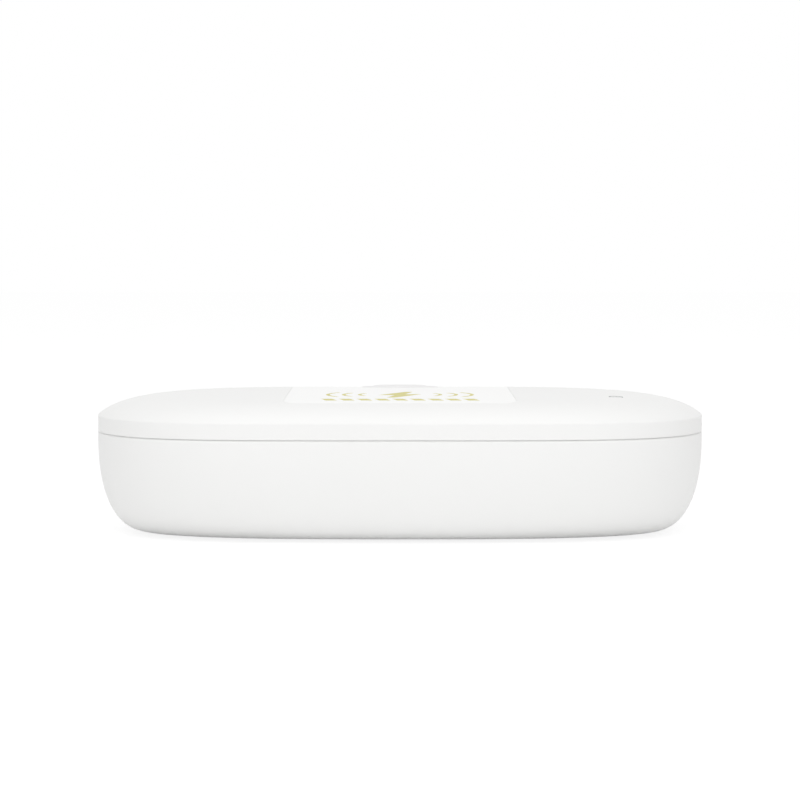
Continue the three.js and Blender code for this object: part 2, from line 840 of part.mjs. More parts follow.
place(
  base,
  "board_link",
  slab(boardLink.width, boardLink.depth, baseLampBoardZ - boardTopZ - 2 * clearance, 0, 0, boardTopZ + clearance),
  lampCeramic,
);
place(
  base,
  "base_lamp_board",
  slab(2 * (baseLampX + baseLampBoard.overhang), baseLampBoard.width, lampBoardThickness, 0, 0, baseLampBoardZ),
  circuitBoard,
);
for (const [side, sign] of [["left", -1], ["right", 1]]) {
  const x = sign * baseLampX;
  place(base, `base_uv_lamp_${side}`, slab(lampSize, lampSize, lampHeight, x, 0, baseLampTopZ - lampHeight), lampCeramic);
  place(base, `base_window_${side}`, disc(windowRadius, windowThickness, x, 0, baseWindowZ, windowSides), clearGlass);
  place(base, `base_bezel_${side}`, turned(bezelProfile, x, 0, tubFloorZ + clearance, windowSides), whitePlastic);
  place(base, `phone_rest_${side}`, phoneRest(sign * restX), clearAcrylic);
}
place(base, "hinge_pin", barrelAlongX(pinRadius, hingeWidth - clearance), steel);
const magnetY = -(halfDepth - magnetInset - magnetDepth / 2);
const underFlangeZ = flangeUnderZ - clearance;
place(
  base,
  "base_magnet",
  slab(magnetWidth, magnetDepth, baseMagnetHeight, 0, magnetY, underFlangeZ - baseMagnetHeight),
  magnetSteel,
);
place(
  base,
  "lid_sensor",
  slab(sensor.width, magnetDepth, sensor.height, sensor.x, magnetY, underFlangeZ - sensor.height),
  blackPlastic,
);

place(lid, "lid_shell", lidShell(), whitePlastic);
place(lid, "charging_inlay", chargingInlay(), inlayPlastic);
place(lid, "rear_stop", rearStop(), stopSilicone);
place(
  lid,
  "charge_coil",
  cut(disc(coilOuter, coilThickness, 0, 0, coilZ, windowSides * 2), disc(coilInner, coilThickness * 2, 0, 0, coilZ - fuse)),
  copper,
);
place(lid, "ferrite_sheet", slab(ferriteSize, ferriteSize, ferriteThickness, 0, 0, ferriteZ), ferriteBlack);
place(
  lid,
  "charge_board",
  slab(chargeBoard.length, chargeBoard.depth, chargeBoard.thickness, 0, 0, chargeBoardZ),
  circuitBoard,
);
place(
  lid,
  "charge_chip",
  slab(chargeChip.size, chargeChip.size, chargeChip.height, 0, chargeChip.y, chargeBoardZ - clearance - chargeChip.height),
  blackPlastic,
);
place(lid, "lid_liner", lidLiner(), mirrorPlastic);
place(
  lid,
  "lid_lamp_board",
  slab(2 * (lidLampX + lidLampBoard.overhang), lidLampBoard.width, lampBoardThickness, 0, 0, lidLampBoardZ),
  circuitBoard,
);
for (const [name, sign] of [["left", -1], ["middle", 0], ["right", 1]]) {
  const x = sign * lidLampX;
  place(lid, `lid_uv_lamp_${name}`, slab(lampSize, lampSize, lampHeight, x, 0, lidLampZ), lampCeramic);
  place(lid, `lid_window_${name}`, disc(windowRadius, windowThickness, x, 0, lidWindowZ, windowSides), clearGlass);
  const bezelZ = ceilingZ - clearance - bezelHeight;
  place(lid, `lid_bezel_${name}`, turned(bezelProfile, x, 0, bezelZ, windowSides), whitePlastic);
}
place(
  lid,
  "lid_magnet",
  slab(magnetWidth, magnetDepth, lidMagnetHeight, 0, magnetY, ceilingTopZ + clearance),
  magnetSteel,
);
for (const [corner, sx, sy] of corners) {
  const profile = screw(lidScrewShank, lidScrewHead, lidScrewHeadHeight, lidScrewLength);
  place(lid, `lid_screw_${corner}`, turned(profile, sx * lidScrewX, sy * lidScrewY, lidScrewZ), steel);
}
place(
  lid,
  "button_board",
  slab(buttonBoard.width, buttonBoard.depth, buttonBoard.thickness, buttonX, buttonY, buttonBoardZ),
  circuitBoard,
);
place(lid, "button_switch", buttonSwitch(), blackPlastic);

place(button, "power_button", powerButton(), whitePlastic);
place(button, "switch_plunger", disc(plungerRadius, plungerLength, buttonX, buttonY, plungerZ), blackPlastic);

export default part;
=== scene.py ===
"""The looks of a UV sanitizer box for phones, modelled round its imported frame.

Metres, +Z up, and the front faces -Y.
"""

import json
import math

import bmesh
import bpy
import numpy as np
from mathutils import Matrix, Vector

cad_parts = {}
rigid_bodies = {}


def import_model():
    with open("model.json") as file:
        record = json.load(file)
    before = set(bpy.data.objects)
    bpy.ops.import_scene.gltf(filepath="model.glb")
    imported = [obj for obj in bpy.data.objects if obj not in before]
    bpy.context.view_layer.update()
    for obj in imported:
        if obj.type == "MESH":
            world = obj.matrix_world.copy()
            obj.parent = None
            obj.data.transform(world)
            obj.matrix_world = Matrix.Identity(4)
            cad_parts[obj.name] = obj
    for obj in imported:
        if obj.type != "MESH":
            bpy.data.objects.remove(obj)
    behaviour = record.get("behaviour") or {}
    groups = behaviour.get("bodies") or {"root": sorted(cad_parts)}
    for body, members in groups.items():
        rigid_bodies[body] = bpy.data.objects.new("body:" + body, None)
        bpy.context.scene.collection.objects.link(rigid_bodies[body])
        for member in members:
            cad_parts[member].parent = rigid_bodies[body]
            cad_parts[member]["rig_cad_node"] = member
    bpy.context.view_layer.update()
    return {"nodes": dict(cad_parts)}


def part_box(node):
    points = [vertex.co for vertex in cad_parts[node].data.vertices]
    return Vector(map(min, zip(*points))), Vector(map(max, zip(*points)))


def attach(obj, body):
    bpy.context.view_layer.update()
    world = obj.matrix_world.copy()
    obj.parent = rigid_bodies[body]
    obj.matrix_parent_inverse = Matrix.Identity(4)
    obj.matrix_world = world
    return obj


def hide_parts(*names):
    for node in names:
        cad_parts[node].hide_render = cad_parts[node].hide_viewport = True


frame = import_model()

MM = 0.001

# The air that the frame leaves round a piece, and how far a cutter passes what it cuts
CLEARANCE = 0.3 * MM
THROUGH = 1 * MM

# How far a boss, post or stud reaches into what carries it
SUNK = 0.5 * MM

# The share of a direction that counts as along an axis, or as flat, and what counts as level
ALONG = 0.9
FLAT = 0.95
LEVEL = 1e-5

# Places and sizes that the frame gives
gasket_low, gasket_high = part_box("rim_gasket")
lid_low, lid_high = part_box("lid_shell")
pin_low, pin_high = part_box("hinge_pin")
PLAN_Y = (gasket_low.y + gasket_high.y) / 2
HALF_WIDTH = (lid_high.x - lid_low.x) / 2
HALF_DEPTH = PLAN_Y - lid_low.y
LID_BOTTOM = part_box("lid_liner")[0].z
HINGE_Y = (pin_low.y + pin_high.y) / 2
HINGE_Z = (pin_low.z + pin_high.z) / 2
TUB_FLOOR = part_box("phone_rest_left")[0].z - CLEARANCE
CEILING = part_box("lid_bezel_left")[1].z + CLEARANCE

# The plan outline's powers, and how many points go round it
END_POWER = 4.65
FRONT_POWER = 2.1
BOTTOM_POWER = 2.9
OUTLINE_POINTS = 288
FINE_STEPS = 14400
HALVINGS = 44

# Heights and walls of the two shells
FOOT_PROUD = 0.8 * MM
SEAM_GAP = 0.4 * MM
BASE_TOP = LID_BOTTOM - SEAM_GAP
SEAM_Z = LID_BOTTOM - SEAM_GAP / 2
BOWL_HEIGHT = SEAM_Z - FOOT_PROUD
BOWL_INSET = 16.9 * MM
BOWL_POWER = 2.34
SHELL_WALL = 2.2 * MM
DOME_WALL = 2 * MM
SHEET_WALL = 1.2 * MM
RIM_Z = SEAM_Z + 5.55 * MM
DOME_RISE = 7.23 * MM
DOME_POWER = 10.2
DOME_SOFTNESS = 0.86
FLOOR_Z = FOOT_PROUD + SHELL_WALL
SEAM_EDGE = 0.2 * MM
SEAM_RUN = 4 * SEAM_EDGE
STEP_INSET = 0.34 * MM
STEP_TOP = LID_BOTTOM - 0.1 * MM
RIM_EDGE = 0.18 * MM

# The inlay, and the recess that it lies in
INLAY_HALF_WIDTH = 39 * MM
INLAY_HALF_DEPTH = 49 * MM
INLAY_CORNER = 5 * MM
INLAY_THICKNESS = 0.5 * MM
INLAY_GAP = 0.07 * MM
INLAY_EDGE = 0.05 * MM
RECESS_DEPTH = 0.8 * MM


# Plan outlines: each is the distance from the plan's centre along a fan of directions
def outline_reach(directions, half_x, half_y, end_power=END_POWER, front_power=FRONT_POWER):
    """How far |x/half_x|^end_power + |y/half_y|^front_power = 1 lies along each direction."""
    across = np.abs(np.cos(directions)) / half_x
    along = np.abs(np.sin(directions)) / half_y
    low = np.zeros_like(directions)
    high = np.full_like(directions, math.hypot(half_x, half_y))
    for _ in range(HALVINGS):
        middle = (low + high) / 2
        outside = (across * middle) ** end_power + (along * middle) ** front_power > 1
        low, high = np.where(outside, low, middle), np.where(outside, middle, high)
    return high


def panel_reach(directions, half_x, half_y, corner):
    """How far a rectangle with round corners lies along each direction."""
    x, y = np.abs(np.cos(directions)), np.abs(np.sin(directions))
    tiny = 1e-9
    side = np.minimum(half_x / np.maximum(x, tiny), half_y / np.maximum(y, tiny))
    inner_x, inner_y = half_x - corner, half_y - corner
    ahead = x * inner_x + y * inner_y
    square = np.maximum(ahead**2 - inner_x**2 - inner_y**2 + corner**2, 0)
    turned = ahead + np.sqrt(square)
    in_corner = (side * x > inner_x) & (side * y > inner_y)
    return np.where(in_corner, turned, side)


def even_directions(count):
    """A fan of directions, closer together where the box's or the inlay's outline turns."""
    fine = np.linspace(0, 2 * math.pi, FINE_STEPS + 1)
    weight = np.zeros(FINE_STEPS)
    for reach in (
        outline_reach(fine, HALF_WIDTH, HALF_DEPTH),
        panel_reach(fine, INLAY_HALF_WIDTH, INLAY_HALF_DEPTH, INLAY_CORNER),
    ):
        x, y = reach * np.cos(fine), reach * np.sin(fine)
        step = np.hypot(np.diff(x), np.diff(y))
        heading = np.unwrap(np.arctan2(np.diff(y), np.diff(x)))
        turn = np.abs(np.gradient(heading))
        weight += step / step.sum() + turn / turn.sum()
    total = np.concatenate(([0], np.cumsum(weight)))
    return np.interp(np.arange(count) / count * total[-1], total, fine)


DIRECTIONS = even_directions(OUTLINE_POINTS)
RIM_REACH = outline_reach(DIRECTIONS, HALF_WIDTH, HALF_DEPTH)


def ring(reach, z):
    """A ring of points at a reach and a height, each one number or one for each direction."""
    reach = np.broadcast_to(reach, DIRECTIONS.shape)
    z = np.broadcast_to(z, DIRECTIONS.shape)
    x = reach * np.cos(DIRECTIONS)
    y = PLAN_Y + reach * np.sin(DIRECTIONS)
    return np.column_stack((x, y, z))


def box_ring(inset, z, bottom=0.0):
    """A ring of the box's outline, drawn in by an inset.

    bottom is how far it has turned into the bottom's rounder outline, from 0 to 1.
    """
    powers = (power + (BOTTOM_POWER - power) * bottom for power in (END_POWER, FRONT_POWER))
    return ring(outline_reach(DIRECTIONS, HALF_WIDTH - inset, HALF_DEPTH - inset, *powers), z)


def dome_height(share):
    """The dome's height over the rim, at a share of the way from its middle to the rim."""
    return DOME_RISE * (1 - np.minimum(share, 1) ** DOME_POWER) ** DOME_SOFTNESS


def dome_ring(reach, drop=0.0):
    """A ring that lies on the lid's dome, or under it by a drop."""
    return ring(reach, RIM_Z - drop + dome_height(reach / RIM_REACH))


def dome_z(x, y):
    """The dome's height over one point of the plan."""
    from_centre = math.hypot(x, y - PLAN_Y)
    direction = np.array([math.atan2(y - PLAN_Y, x)])
    share = from_centre / outline_reach(direction, HALF_WIDTH, HALF_DEPTH)
    return RIM_Z + float(dome_height(share)[0])


def rounded(inset, z, turn_inset, turn_z, steps=3):
    """Rings round a quarter turn from one inset and height to another, upright at its start."""
    angles = [math.pi / 2 * i / steps for i in range(steps + 1)]
    across, up = turn_inset - inset, turn_z - z
    return [box_ring(inset + across * (1 - math.cos(a)), z + up * math.sin(a)) for a in angles]


# Modelling, as by hand: pick faces or edges by their place, then work on them in edit mode
def leave_edit():
    if bpy.context.object and bpy.context.object.mode != "OBJECT":
        bpy.ops.object.mode_set(mode="OBJECT")


def only(piece, *others):
    """Selects one piece, and others with it, and makes it active."""
    leave_edit()
    bpy.ops.object.select_all(action="DESELECT")
    for other in (*others, piece):
        other.select_set(True)
    bpy.context.view_layer.objects.active = piece


def called(piece, name):
    """Names a piece and its mesh."""
    piece.name = piece.data.name = name
    return piece


def new_object(name, data):
    """An object in the scene that shows a mesh, curve, lamp or camera."""
    made = bpy.data.objects.new(name, data)
    bpy.context.scene.collection.objects.link(made)
    return made


def started(name, add, **options):
    """A primitive with its place in its mesh."""
    leave_edit()
    bpy.ops.object.select_all(action="DESELECT")
    add(**options)
    piece = called(bpy.context.object, name)
    bpy.ops.object.transform_apply(location=True, rotation=True, scale=True)
    return piece


def block(name, low, high):
    """A box between two corners."""
    add = bpy.ops.mesh.primitive_cube_add
    return started(name, add, size=1, location=(low + high) / 2, scale=high - low)


def drum(name, radius, low, high, x, y, sides=64):
    """An upright cylinder between two heights."""
    return started(
        name,
        bpy.ops.mesh.primitive_cylinder_add,
        vertices=sides,
        radius=radius,
        depth=high - low,
        location=(x, y, (low + high) / 2),
    )


def pick(piece, test, what="FACE"):
    """Enters edit mode with only the faces, edges or points whose middle and normal pass a test."""
    only(piece)
    bpy.ops.object.mode_set(mode="EDIT")
    bpy.ops.mesh.select_mode(type=what)
    bpy.ops.mesh.select_all(action="DESELECT")
    mesh = bmesh.from_edit_mesh(piece.data)
    if what == "FACE":
        for face in mesh.faces:
            face.select_set(bool(test(face.calc_center_median(), face.normal)))
    elif what == "EDGE":
        for edge in mesh.edges:
            ends = [vert.co for vert in edge.verts]
            edge.select_set(bool(test((ends[0] + ends[1]) / 2, (ends[1] - ends[0]).normalized())))
    else:
        for vert in mesh.verts:
            vert.select_set(bool(test(vert.co, vert.normal)))
    bmesh.update_edit_mesh(piece.data)


def inset(width, depth=0.0):
    bpy.ops.mesh.inset(thickness=width, depth=depth, use_even_offset=True)


def extrude(x=0.0, y=0.0, z=0.0):
    bpy.ops.mesh.extrude_region_move(TRANSFORM_OT_translate={"value": (x, y, z)})


def lift(z):
    bpy.ops.transform.translate(value=(0, 0, z))


def swell(x, y, z, about):
    bpy.ops.transform.resize(value=(x, y, z), center_override=about)


def bevel_edges(piece, test, width, steps):
    """Bevels only the edges whose middle and direction pass a test."""
    pick(piece, test, "EDGE")
    bpy.ops.mesh.bevel(offset=width, segments=steps, affect="EDGES")
    leave_edit()


def softened(piece, width, steps=3, angle=40):
    """Bevels a piece's sharp edges."""
    modifier = piece.modifiers.new("softened", "BEVEL")
    modifier.width = width
    modifier.segments = steps
    modifier.limit_method = "ANGLE"
    modifier.angle_limit = math.radians(angle)
    modifier.use_clamp_overlap = True
    only(piece)
    bpy.ops.object.modifier_apply(modifier=modifier.name)
    return piece


def smoothed(piece, angle=35):
    only(piece)
    bpy.ops.object.shade_smooth_by_angle(angle=math.radians(angle))
    return piece


def together(pieces):
    """Makes one mesh of several pieces that don't touch."""
    only(pieces[0], *pieces[1:])
    bpy.ops.object.join()
    return pieces[0]


def carve(piece, tools, how="DIFFERENCE"):
    """Cuts tools from a piece, or fuses them to it, all at once, and takes the tools away."""
    tool = together(tools)
    modifier = piece.modifiers.new("carve", "BOOLEAN")
    modifier.operation = how
    modifier.object = tool
    modifier.solver = "EXACT"
    only(piece)
    bpy.ops.object.modifier_apply(modifier=modifier.name)
    bpy.data.objects.remove(tool)
    return piece


def copied(piece, name, move):
    """A copy with its own mesh, moved."""
    twin = piece.copy()
    twin.data = piece.data.copy()
    bpy.context.scene.collection.objects.link(twin)
    twin.data.transform(Matrix.Translation(move))
    return called(twin, name)


def middle(node):
    low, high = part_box(node)
    return (low + high) / 2


def half_width(node):
    """Half a node's width, which is a round node's radius."""
    low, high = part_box(node)
    return (high.x - low.x) / 2


def outward(piece):
    """Turns every face of a closed body outwards."""
    only(piece)
    bpy.ops.object.mode_set(mode="EDIT")
    bpy.ops.mesh.select_all(action="SELECT")
    bpy.ops.mesh.normals_make_consistent(inside=False)
    leave_edit()
    return piece


def faced(name, points, faces):
    """A closed body from its points and faces."""
    mesh = bpy.data.meshes.new(name)
    mesh.from_pydata(points, [], faces)
    return outward(new_object(name, mesh))


def lofted(name, rings, closed=False):
    """A closed body through rings of points, capped at both ends.

    Rings that close on themselves have no ends.
    """
    count, sides = len(rings), len(rings[0])
    points = list(np.concatenate(rings))
    spans = [(k, (k + 1) % count) for k in range(count if closed else count - 1)]
    faces = []
    for lower, upper in spans:
        first, second = lower * sides, upper * sides
        for i in range(sides):
            j = (i + 1) % sides
            faces.append((first + i, first + j, second + j, second + i))
    if not closed:
        for k in (0, count - 1):
            points.append(rings[k].mean(axis=0))
            hub = len(points) - 1
            faces += [(hub, k * sides + i, k * sides + (i + 1) % sides) for i in range(sides)]
    return faced(name, [tuple(point) for point in points], faces)


def bar_along_x(name, profile, low_x, high_x):
    """A bar that runs along X, with its section given as points of y and z."""
    count = len(profile)
    points = [(x, y, z) for x in (low_x, high_x) for y, z in profile]
    faces = [tuple(range(count)), tuple(range(2 * count - 1, count - 1, -1))]
    faces += [(i, (i + 1) % count, count + (i + 1) % count, count + i) for i in range(count)]
    return faced(name, points, faces)


def fitted(piece, body, slot, finish, *nodes):
    """Gives a piece its finish and its place on a body, and lets it stand for its nodes."""
    piece.data.materials.clear()
    piece.data.materials.append(finish)
    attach(piece, body)
    if nodes:
        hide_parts(*nodes)
    return piece


# Finishes: shader nodes, and the effects that several finishes share
def add_node(tree, kind, inputs=None, **settings):
    """A node with its settings, and its inputs set or linked."""
    made = tree.nodes.new(kind)
    for name, value in settings.items():
        setattr(made, name, value)
    for name, value in (inputs or {}).items():
        if isinstance(value, bpy.types.NodeSocket):
            tree.links.new(value, made.inputs[name])
        else:
            made.inputs[name].default_value = value
    return made


def sums(tree, operation, *values):
    """A Math node's result."""
    return add_node(tree, "ShaderNodeMath", dict(enumerate(values)), operation=operation).outputs[0]


def vectors(tree, operation, inputs):
    """A Vector Math node's result."""
    return add_node(tree, "ShaderNodeVectorMath", inputs, operation=operation).outputs[0]


def blended(tree, factor, first, second):
    """Two colours mixed by a factor."""
    mixed = add_node(tree, "ShaderNodeMix", {0: factor, 6: first, 7: second}, data_type="RGBA")
    return mixed.outputs[2]


# From none to all of an effect, and where most of a noise's values lie
WHOLE = (0.0, 1.0)
NOISE_SPAN = (0.3, 0.7)


def ranged(tree, value, given, wanted):
    """A value moved from one range to another."""
    spread = {"Value": value, "From Min": given[0], "From Max": given[1]}
    spread |= {"To Min": wanted[0], "To Max": wanted[1]}
    return add_node(tree, "ShaderNodeMapRange", spread).outputs[0]


def effect(name, inputs, outputs):
    """An empty node group with named inputs and outputs."""
    tree = bpy.data.node_groups.new(name, "ShaderNodeTree")
    for label, (kind, value) in inputs.items():
        socket = tree.interface.new_socket(label, in_out="INPUT", socket_type=f"NodeSocket{kind}")
        socket.default_value = value
    for label, kind in outputs.items():
        tree.interface.new_socket(label, in_out="OUTPUT", socket_type=f"NodeSocket{kind}")
    return tree, tree.nodes.new("NodeGroupInput"), tree.nodes.new("NodeGroupOutput")


def colour(code):
    """A hex colour as a linear one."""
    parts = [int(code[i : i + 2], 16) / 255 for i in (1, 3, 5)]
    linear = [p / 12.92 if p <= 0.04045 else ((p + 0.055) / 1.055) ** 2.4 for p in parts]
    return (*linear, 1.0)


def place_of(tree):
    return add_node(tree, "ShaderNodeTexCoord").outputs["Object"]


def noise(tree, scale, detail=2.0, roughness=0.5, at=None):
    inputs = {"Vector": at or place_of(tree), "Scale": scale}
    inputs |= {"Detail": detail, "Roughness": roughness}
    return add_node(tree, "ShaderNodeTexNoise", inputs).outputs["Fac"]


def moulded_skin():
    """Moulded plastic or rubber: a fine grain, slow drifts of tone, and smears in the gloss."""
    tree, given, made = effect(
        "moulded skin",
        {
            "Color": ("Color", (0.8, 0.8, 0.8, 1)),
            "Roughness": ("Float", 0.5),
            "Grain Scale": ("Float", 2500.0),
            "Drift": ("Float", 0.02),
            "Smear": ("Float", 0.06),
        },
        {"Color": "Color", "Roughness": "Float", "Height": "Float"},
    )
    grain = noise(tree, given.outputs["Grain Scale"], detail=3.0, roughness=0.55)
    drift = noise(tree, scale=14.0)
    smear = noise(tree, scale=55.0, detail=4.0, roughness=0.6)
    shade = sums(tree, "MULTIPLY", sums(tree, "SUBTRACT", drift, 0.5), given.outputs["Drift"])
    shade = sums(tree, "ADD", shade, 1.0)
    toned = vectors(tree, "SCALE", {0: given.outputs["Color"], "Scale": shade})
    gloss = sums(tree, "MULTIPLY", sums(tree, "SUBTRACT", smear, 0.5), given.outputs["Smear"])
    tree.links.new(toned, made.inputs["Color"])
    tree.links.new(sums(tree, "ADD", gloss, given.outputs["Roughness"]), made.inputs["Roughness"])
    tree.links.new(grain, made.inputs["Height"])
    return tree


# How pointed an edge is where its wear starts and is full, and the same for the noise in it
EDGE_SPAN = (0.53, 0.62)
BREAK_SPAN = (0.4, 0.65)


def edge_wear():
    """A mask of a piece's outer edges, broken up as handling does."""
    tree, given, made = effect(
        "edge wear", {"Amount": ("Float", 0.5), "Break Up": ("Float", 180.0)}, {"Mask": "Float"}
    )
    pointed = add_node(tree, "ShaderNodeNewGeometry").outputs["Pointiness"]
    edges = ranged(tree, pointed, EDGE_SPAN, WHOLE)
    rubbed = noise(tree, given.outputs["Break Up"], detail=4.0, roughness=0.7)
    broken = ranged(tree, rubbed, BREAK_SPAN, WHOLE)
    mask = sums(tree, "MULTIPLY", sums(tree, "MULTIPLY", edges, broken), given.outputs["Amount"])
    tree.links.new(mask, made.inputs["Mask"])
    return tree


def drawn_metal():
    """Drawn or rolled metal: fine lines along one axis, and blotches in the gloss."""
    tree, given, made = effect(
        "drawn metal",
        {"Stretch": ("Vector", (60.0, 3000.0, 3000.0)), "Roughness": ("Float", 0.3)},
        {"Roughness": "Float", "Height": "Float"},
    )
    at = vectors(tree, "MULTIPLY", {0: place_of(tree), 1: given.outputs["Stretch"]})
    lines = noise(tree, scale=1.0, roughness=0.6, at=at)
    blotch = noise(tree, scale=260.0, detail=3.0)
    gloss = given.outputs["Roughness"]
    gloss = sums(tree, "ADD", gloss, ranged(tree, lines, NOISE_SPAN, (-0.05, 0.05)))
    gloss = sums(tree, "ADD", gloss, ranged(tree, blotch, NOISE_SPAN, (-0.04, 0.06)))
    tree.links.new(gloss, made.inputs["Roughness"])
    tree.links.new(lines, made.inputs["Height"])
    return tree


# The guide's marks: how far in front of the plan's centre they lie, and their sizes
BARS_AHEAD = 40 * MM
BAR_LENGTH = 6.5 * MM
BAR_WIDTH = 3.8 * MM
BAR_PITCH = 6 * MM
BAR_COUNT = 9
BAR_SLANT = 0.3
BOLT_AHEAD = 13 * MM
BOLT_WIDTH = 15 * MM
BOLT_LENGTH = 34 * MM
BOLT_STEP = -0.08
WAVE_START = 14 * MM
WAVE_PITCH = 5.5 * MM
WAVE_LINE = 1.3 * MM
WAVE_SPREAD = 1.6


def placement_guide():
    """The printed guide that shows where a phone lies to charge.

    A lightning bolt with waves beside it, and a row of bars in front of it.
    """
    centre = {"Centre": ("Vector", (0.0, PLAN_Y, 0.0))}
    tree, given, made = effect("placement guide", centre, {"Mask": "Float"})
    at = vectors(tree, "SUBTRACT", {0: place_of(tree), 1: given.outputs["Centre"]})
    split = add_node(tree, "ShaderNodeSeparateXYZ", {0: at})
    side, along = split.outputs["X"], split.outputs["Y"]
    x = sums(tree, "ABSOLUTE", side)

    bar_y = sums(tree, "ADD", along, BARS_AHEAD)
    in_length = within(tree, bar_y, BAR_LENGTH / 2)
    in_row = sums(tree, "MULTIPLY", in_length, within(tree, x, BAR_PITCH * BAR_COUNT / 2))
    slant = sums(tree, "ADD", side, sums(tree, "MULTIPLY", bar_y, BAR_SLANT))
    place = sums(tree, "PINGPONG", slant, BAR_PITCH / 2)
    bars = sums(tree, "MULTIPLY", in_row, sums(tree, "LESS_THAN", place, BAR_WIDTH / 2))

    bolt_y = sums(tree, "ADD", along, BOLT_AHEAD)
    wide = sums(tree, "DIVIDE", side, BOLT_WIDTH)
    long = sums(tree, "DIVIDE", bolt_y, BOLT_LENGTH)
    half = bolt_half(tree, wide, long)
    other = bolt_half(tree, *(sums(tree, "MULTIPLY", value, -1.0) for value in (wide, long)))
    bolt = sums(tree, "MULTIPLY", half, other)

    squares = [sums(tree, "POWER", value, 2.0) for value in (x, bolt_y)]
    from_bolt = sums(tree, "SQRT", sums(tree, "ADD", *squares))
    wave = sums(tree, "PINGPONG", sums(tree, "SUBTRACT", from_bolt, WAVE_START), WAVE_PITCH / 2)
    on_wave = sums(tree, "LESS_THAN", wave, WAVE_LINE / 2)
    from_wave = sums(tree, "SUBTRACT", from_bolt, WAVE_START + WAVE_PITCH)
    in_waves = within(tree, from_wave, WAVE_PITCH + WAVE_LINE)
    fan = sums(tree, "MULTIPLY", sums(tree, "ABSOLUTE", bolt_y), WAVE_SPREAD)
    aside = sums(tree, "GREATER_THAN", x, fan)
    waves = sums(tree, "MULTIPLY", sums(tree, "MULTIPLY", on_wave, in_waves), aside)

    marks = sums(tree, "MAXIMUM", bars, sums(tree, "MAXIMUM", bolt, waves))
    tree.links.new(marks, made.inputs["Mask"])
    return tree


def within(tree, value, reach):
    """1 where a value lies within a reach of zero."""
    return sums(tree, "LESS_THAN", sums(tree, "ABSOLUTE", value), reach)


def bolt_half(tree, wide, long):
    """One edge of a lightning bolt, which is 1 wide and 1 long: a slope, a step out and a slope."""
    upper = ranged(tree, long, (0.5, BOLT_STEP), (0.12, -0.5))
    lower = ranged(tree, long, (BOLT_STEP, -0.5), (-0.12, -0.3))
    under_step = sums(tree, "LESS_THAN", long, BOLT_STEP)
    edge = add_node(tree, "ShaderNodeMix", {0: under_step, 2: upper, 3: lower}).outputs[0]
    inside = sums(tree, "GREATER_THAN", wide, edge)
    return sums(tree, "MULTIPLY", inside, within(tree, long, 0.5))


# How a board's tracks wind and how thin they are, and how rare and how large its pads are
TRACK_WAVES = 26.0
TRACK_LEVEL = 0.55
PAD_CHANCE = 0.62
PAD_REACH = 0.17


def cells(tree, feature, distance, scale, randomness):
    """A flat Voronoi pattern."""
    made = add_node(tree, "ShaderNodeTexVoronoi", feature=feature, distance=distance)
    made.voronoi_dimensions = "2D"
    tree.links.new(place_of(tree), made.inputs["Vector"])
    made.inputs["Scale"].default_value = scale
    made.inputs["Randomness"].default_value = randomness
    return made


def solder_traces():
    """A circuit board's face: tracks under the mask, bare pads, and the weave at its edges."""
    tree, given, made = effect(
        "solder traces",
        {"Mask Color": ("Color", colour("#1f6b45")), "Track Color": ("Color", colour("#2f8a58"))},
        {"Color": "Color", "Metallic": "Float", "Roughness": "Float", "Height": "Float"},
    )
    tracks = cells(tree, "F2", "MANHATTAN", scale=420.0, randomness=0.75).outputs["Distance"]
    wave = sums(tree, "SINE", sums(tree, "MULTIPLY", tracks, TRACK_WAVES))
    on_track = sums(tree, "GREATER_THAN", wave, TRACK_LEVEL)
    pads = cells(tree, "F1", "CHEBYCHEV", scale=260.0, randomness=0.35)
    chance = add_node(tree, "ShaderNodeSeparateColor", {0: pads.outputs["Color"]}).outputs[0]
    sparse = sums(tree, "GREATER_THAN", chance, PAD_CHANCE)
    on_pad = sums(tree, "LESS_THAN", pads.outputs["Distance"], PAD_REACH)
    on_pad = sums(tree, "MULTIPLY", on_pad, sparse)
    tracked = blended(tree, on_track, given.outputs["Mask Color"], given.outputs["Track Color"])
    tinned = blended(tree, on_pad, tracked, colour("#c9b27a"))
    tree.links.new(tinned, made.inputs["Color"])
    tree.links.new(on_pad, made.inputs["Metallic"])
    tree.links.new(ranged(tree, on_pad, WHOLE, (0.42, 0.25)), made.inputs["Roughness"])
    tree.links.new(sums(tree, "ADD", on_track, on_pad), made.inputs["Height"])
    return tree


SKIN = moulded_skin()
WEAR = edge_wear()
METAL = drawn_metal()
GUIDE = placement_guide()
TRACES = solder_traces()


def new_finish(name, **constants):
    """A material with its Principled shader, and the numbers that are the same all over it."""
    material = bpy.data.materials.new(name)
    material.use_nodes = True
    tree = material.node_tree
    shader = tree.nodes["Principled BSDF"]
    for label, value in constants.items():
        shader.inputs[label.replace("_", " ")].default_value = value
    return material, tree, shader


def use_effect(tree, group, **inputs):
    placed = add_node(tree, "ShaderNodeGroup", node_tree=group)
    for label, value in inputs.items():
        socket = placed.inputs[label.replace("_", " ")]
        if isinstance(value, bpy.types.NodeSocket):
            tree.links.new(value, socket)
        else:
            socket.default_value = value
    return placed


def raised(tree, shader, height, distance):
    """Feeds a height to the shader's normal."""
    settings = {"Height": height, "Distance": distance, "Strength": 1.0}
    bump = add_node(tree, "ShaderNodeBump", settings)
    tree.links.new(bump.outputs["Normal"], shader.inputs["Normal"])


def moulded_finish(name, code, roughness, grain, depth, drift, smear, **constants):
    """A moulded plastic or rubber."""
    material, tree, shader = new_finish(name, **constants)
    looks = {"Color": colour(code), "Roughness": roughness}
    skin = use_effect(tree, SKIN, Grain_Scale=grain, Drift=drift, Smear=smear, **looks)
    tree.links.new(skin.outputs["Color"], shader.inputs["Base Color"])
    tree.links.new(skin.outputs["Roughness"], shader.inputs["Roughness"])
    raised(tree, shader, skin.outputs["Height"], depth)
    return material


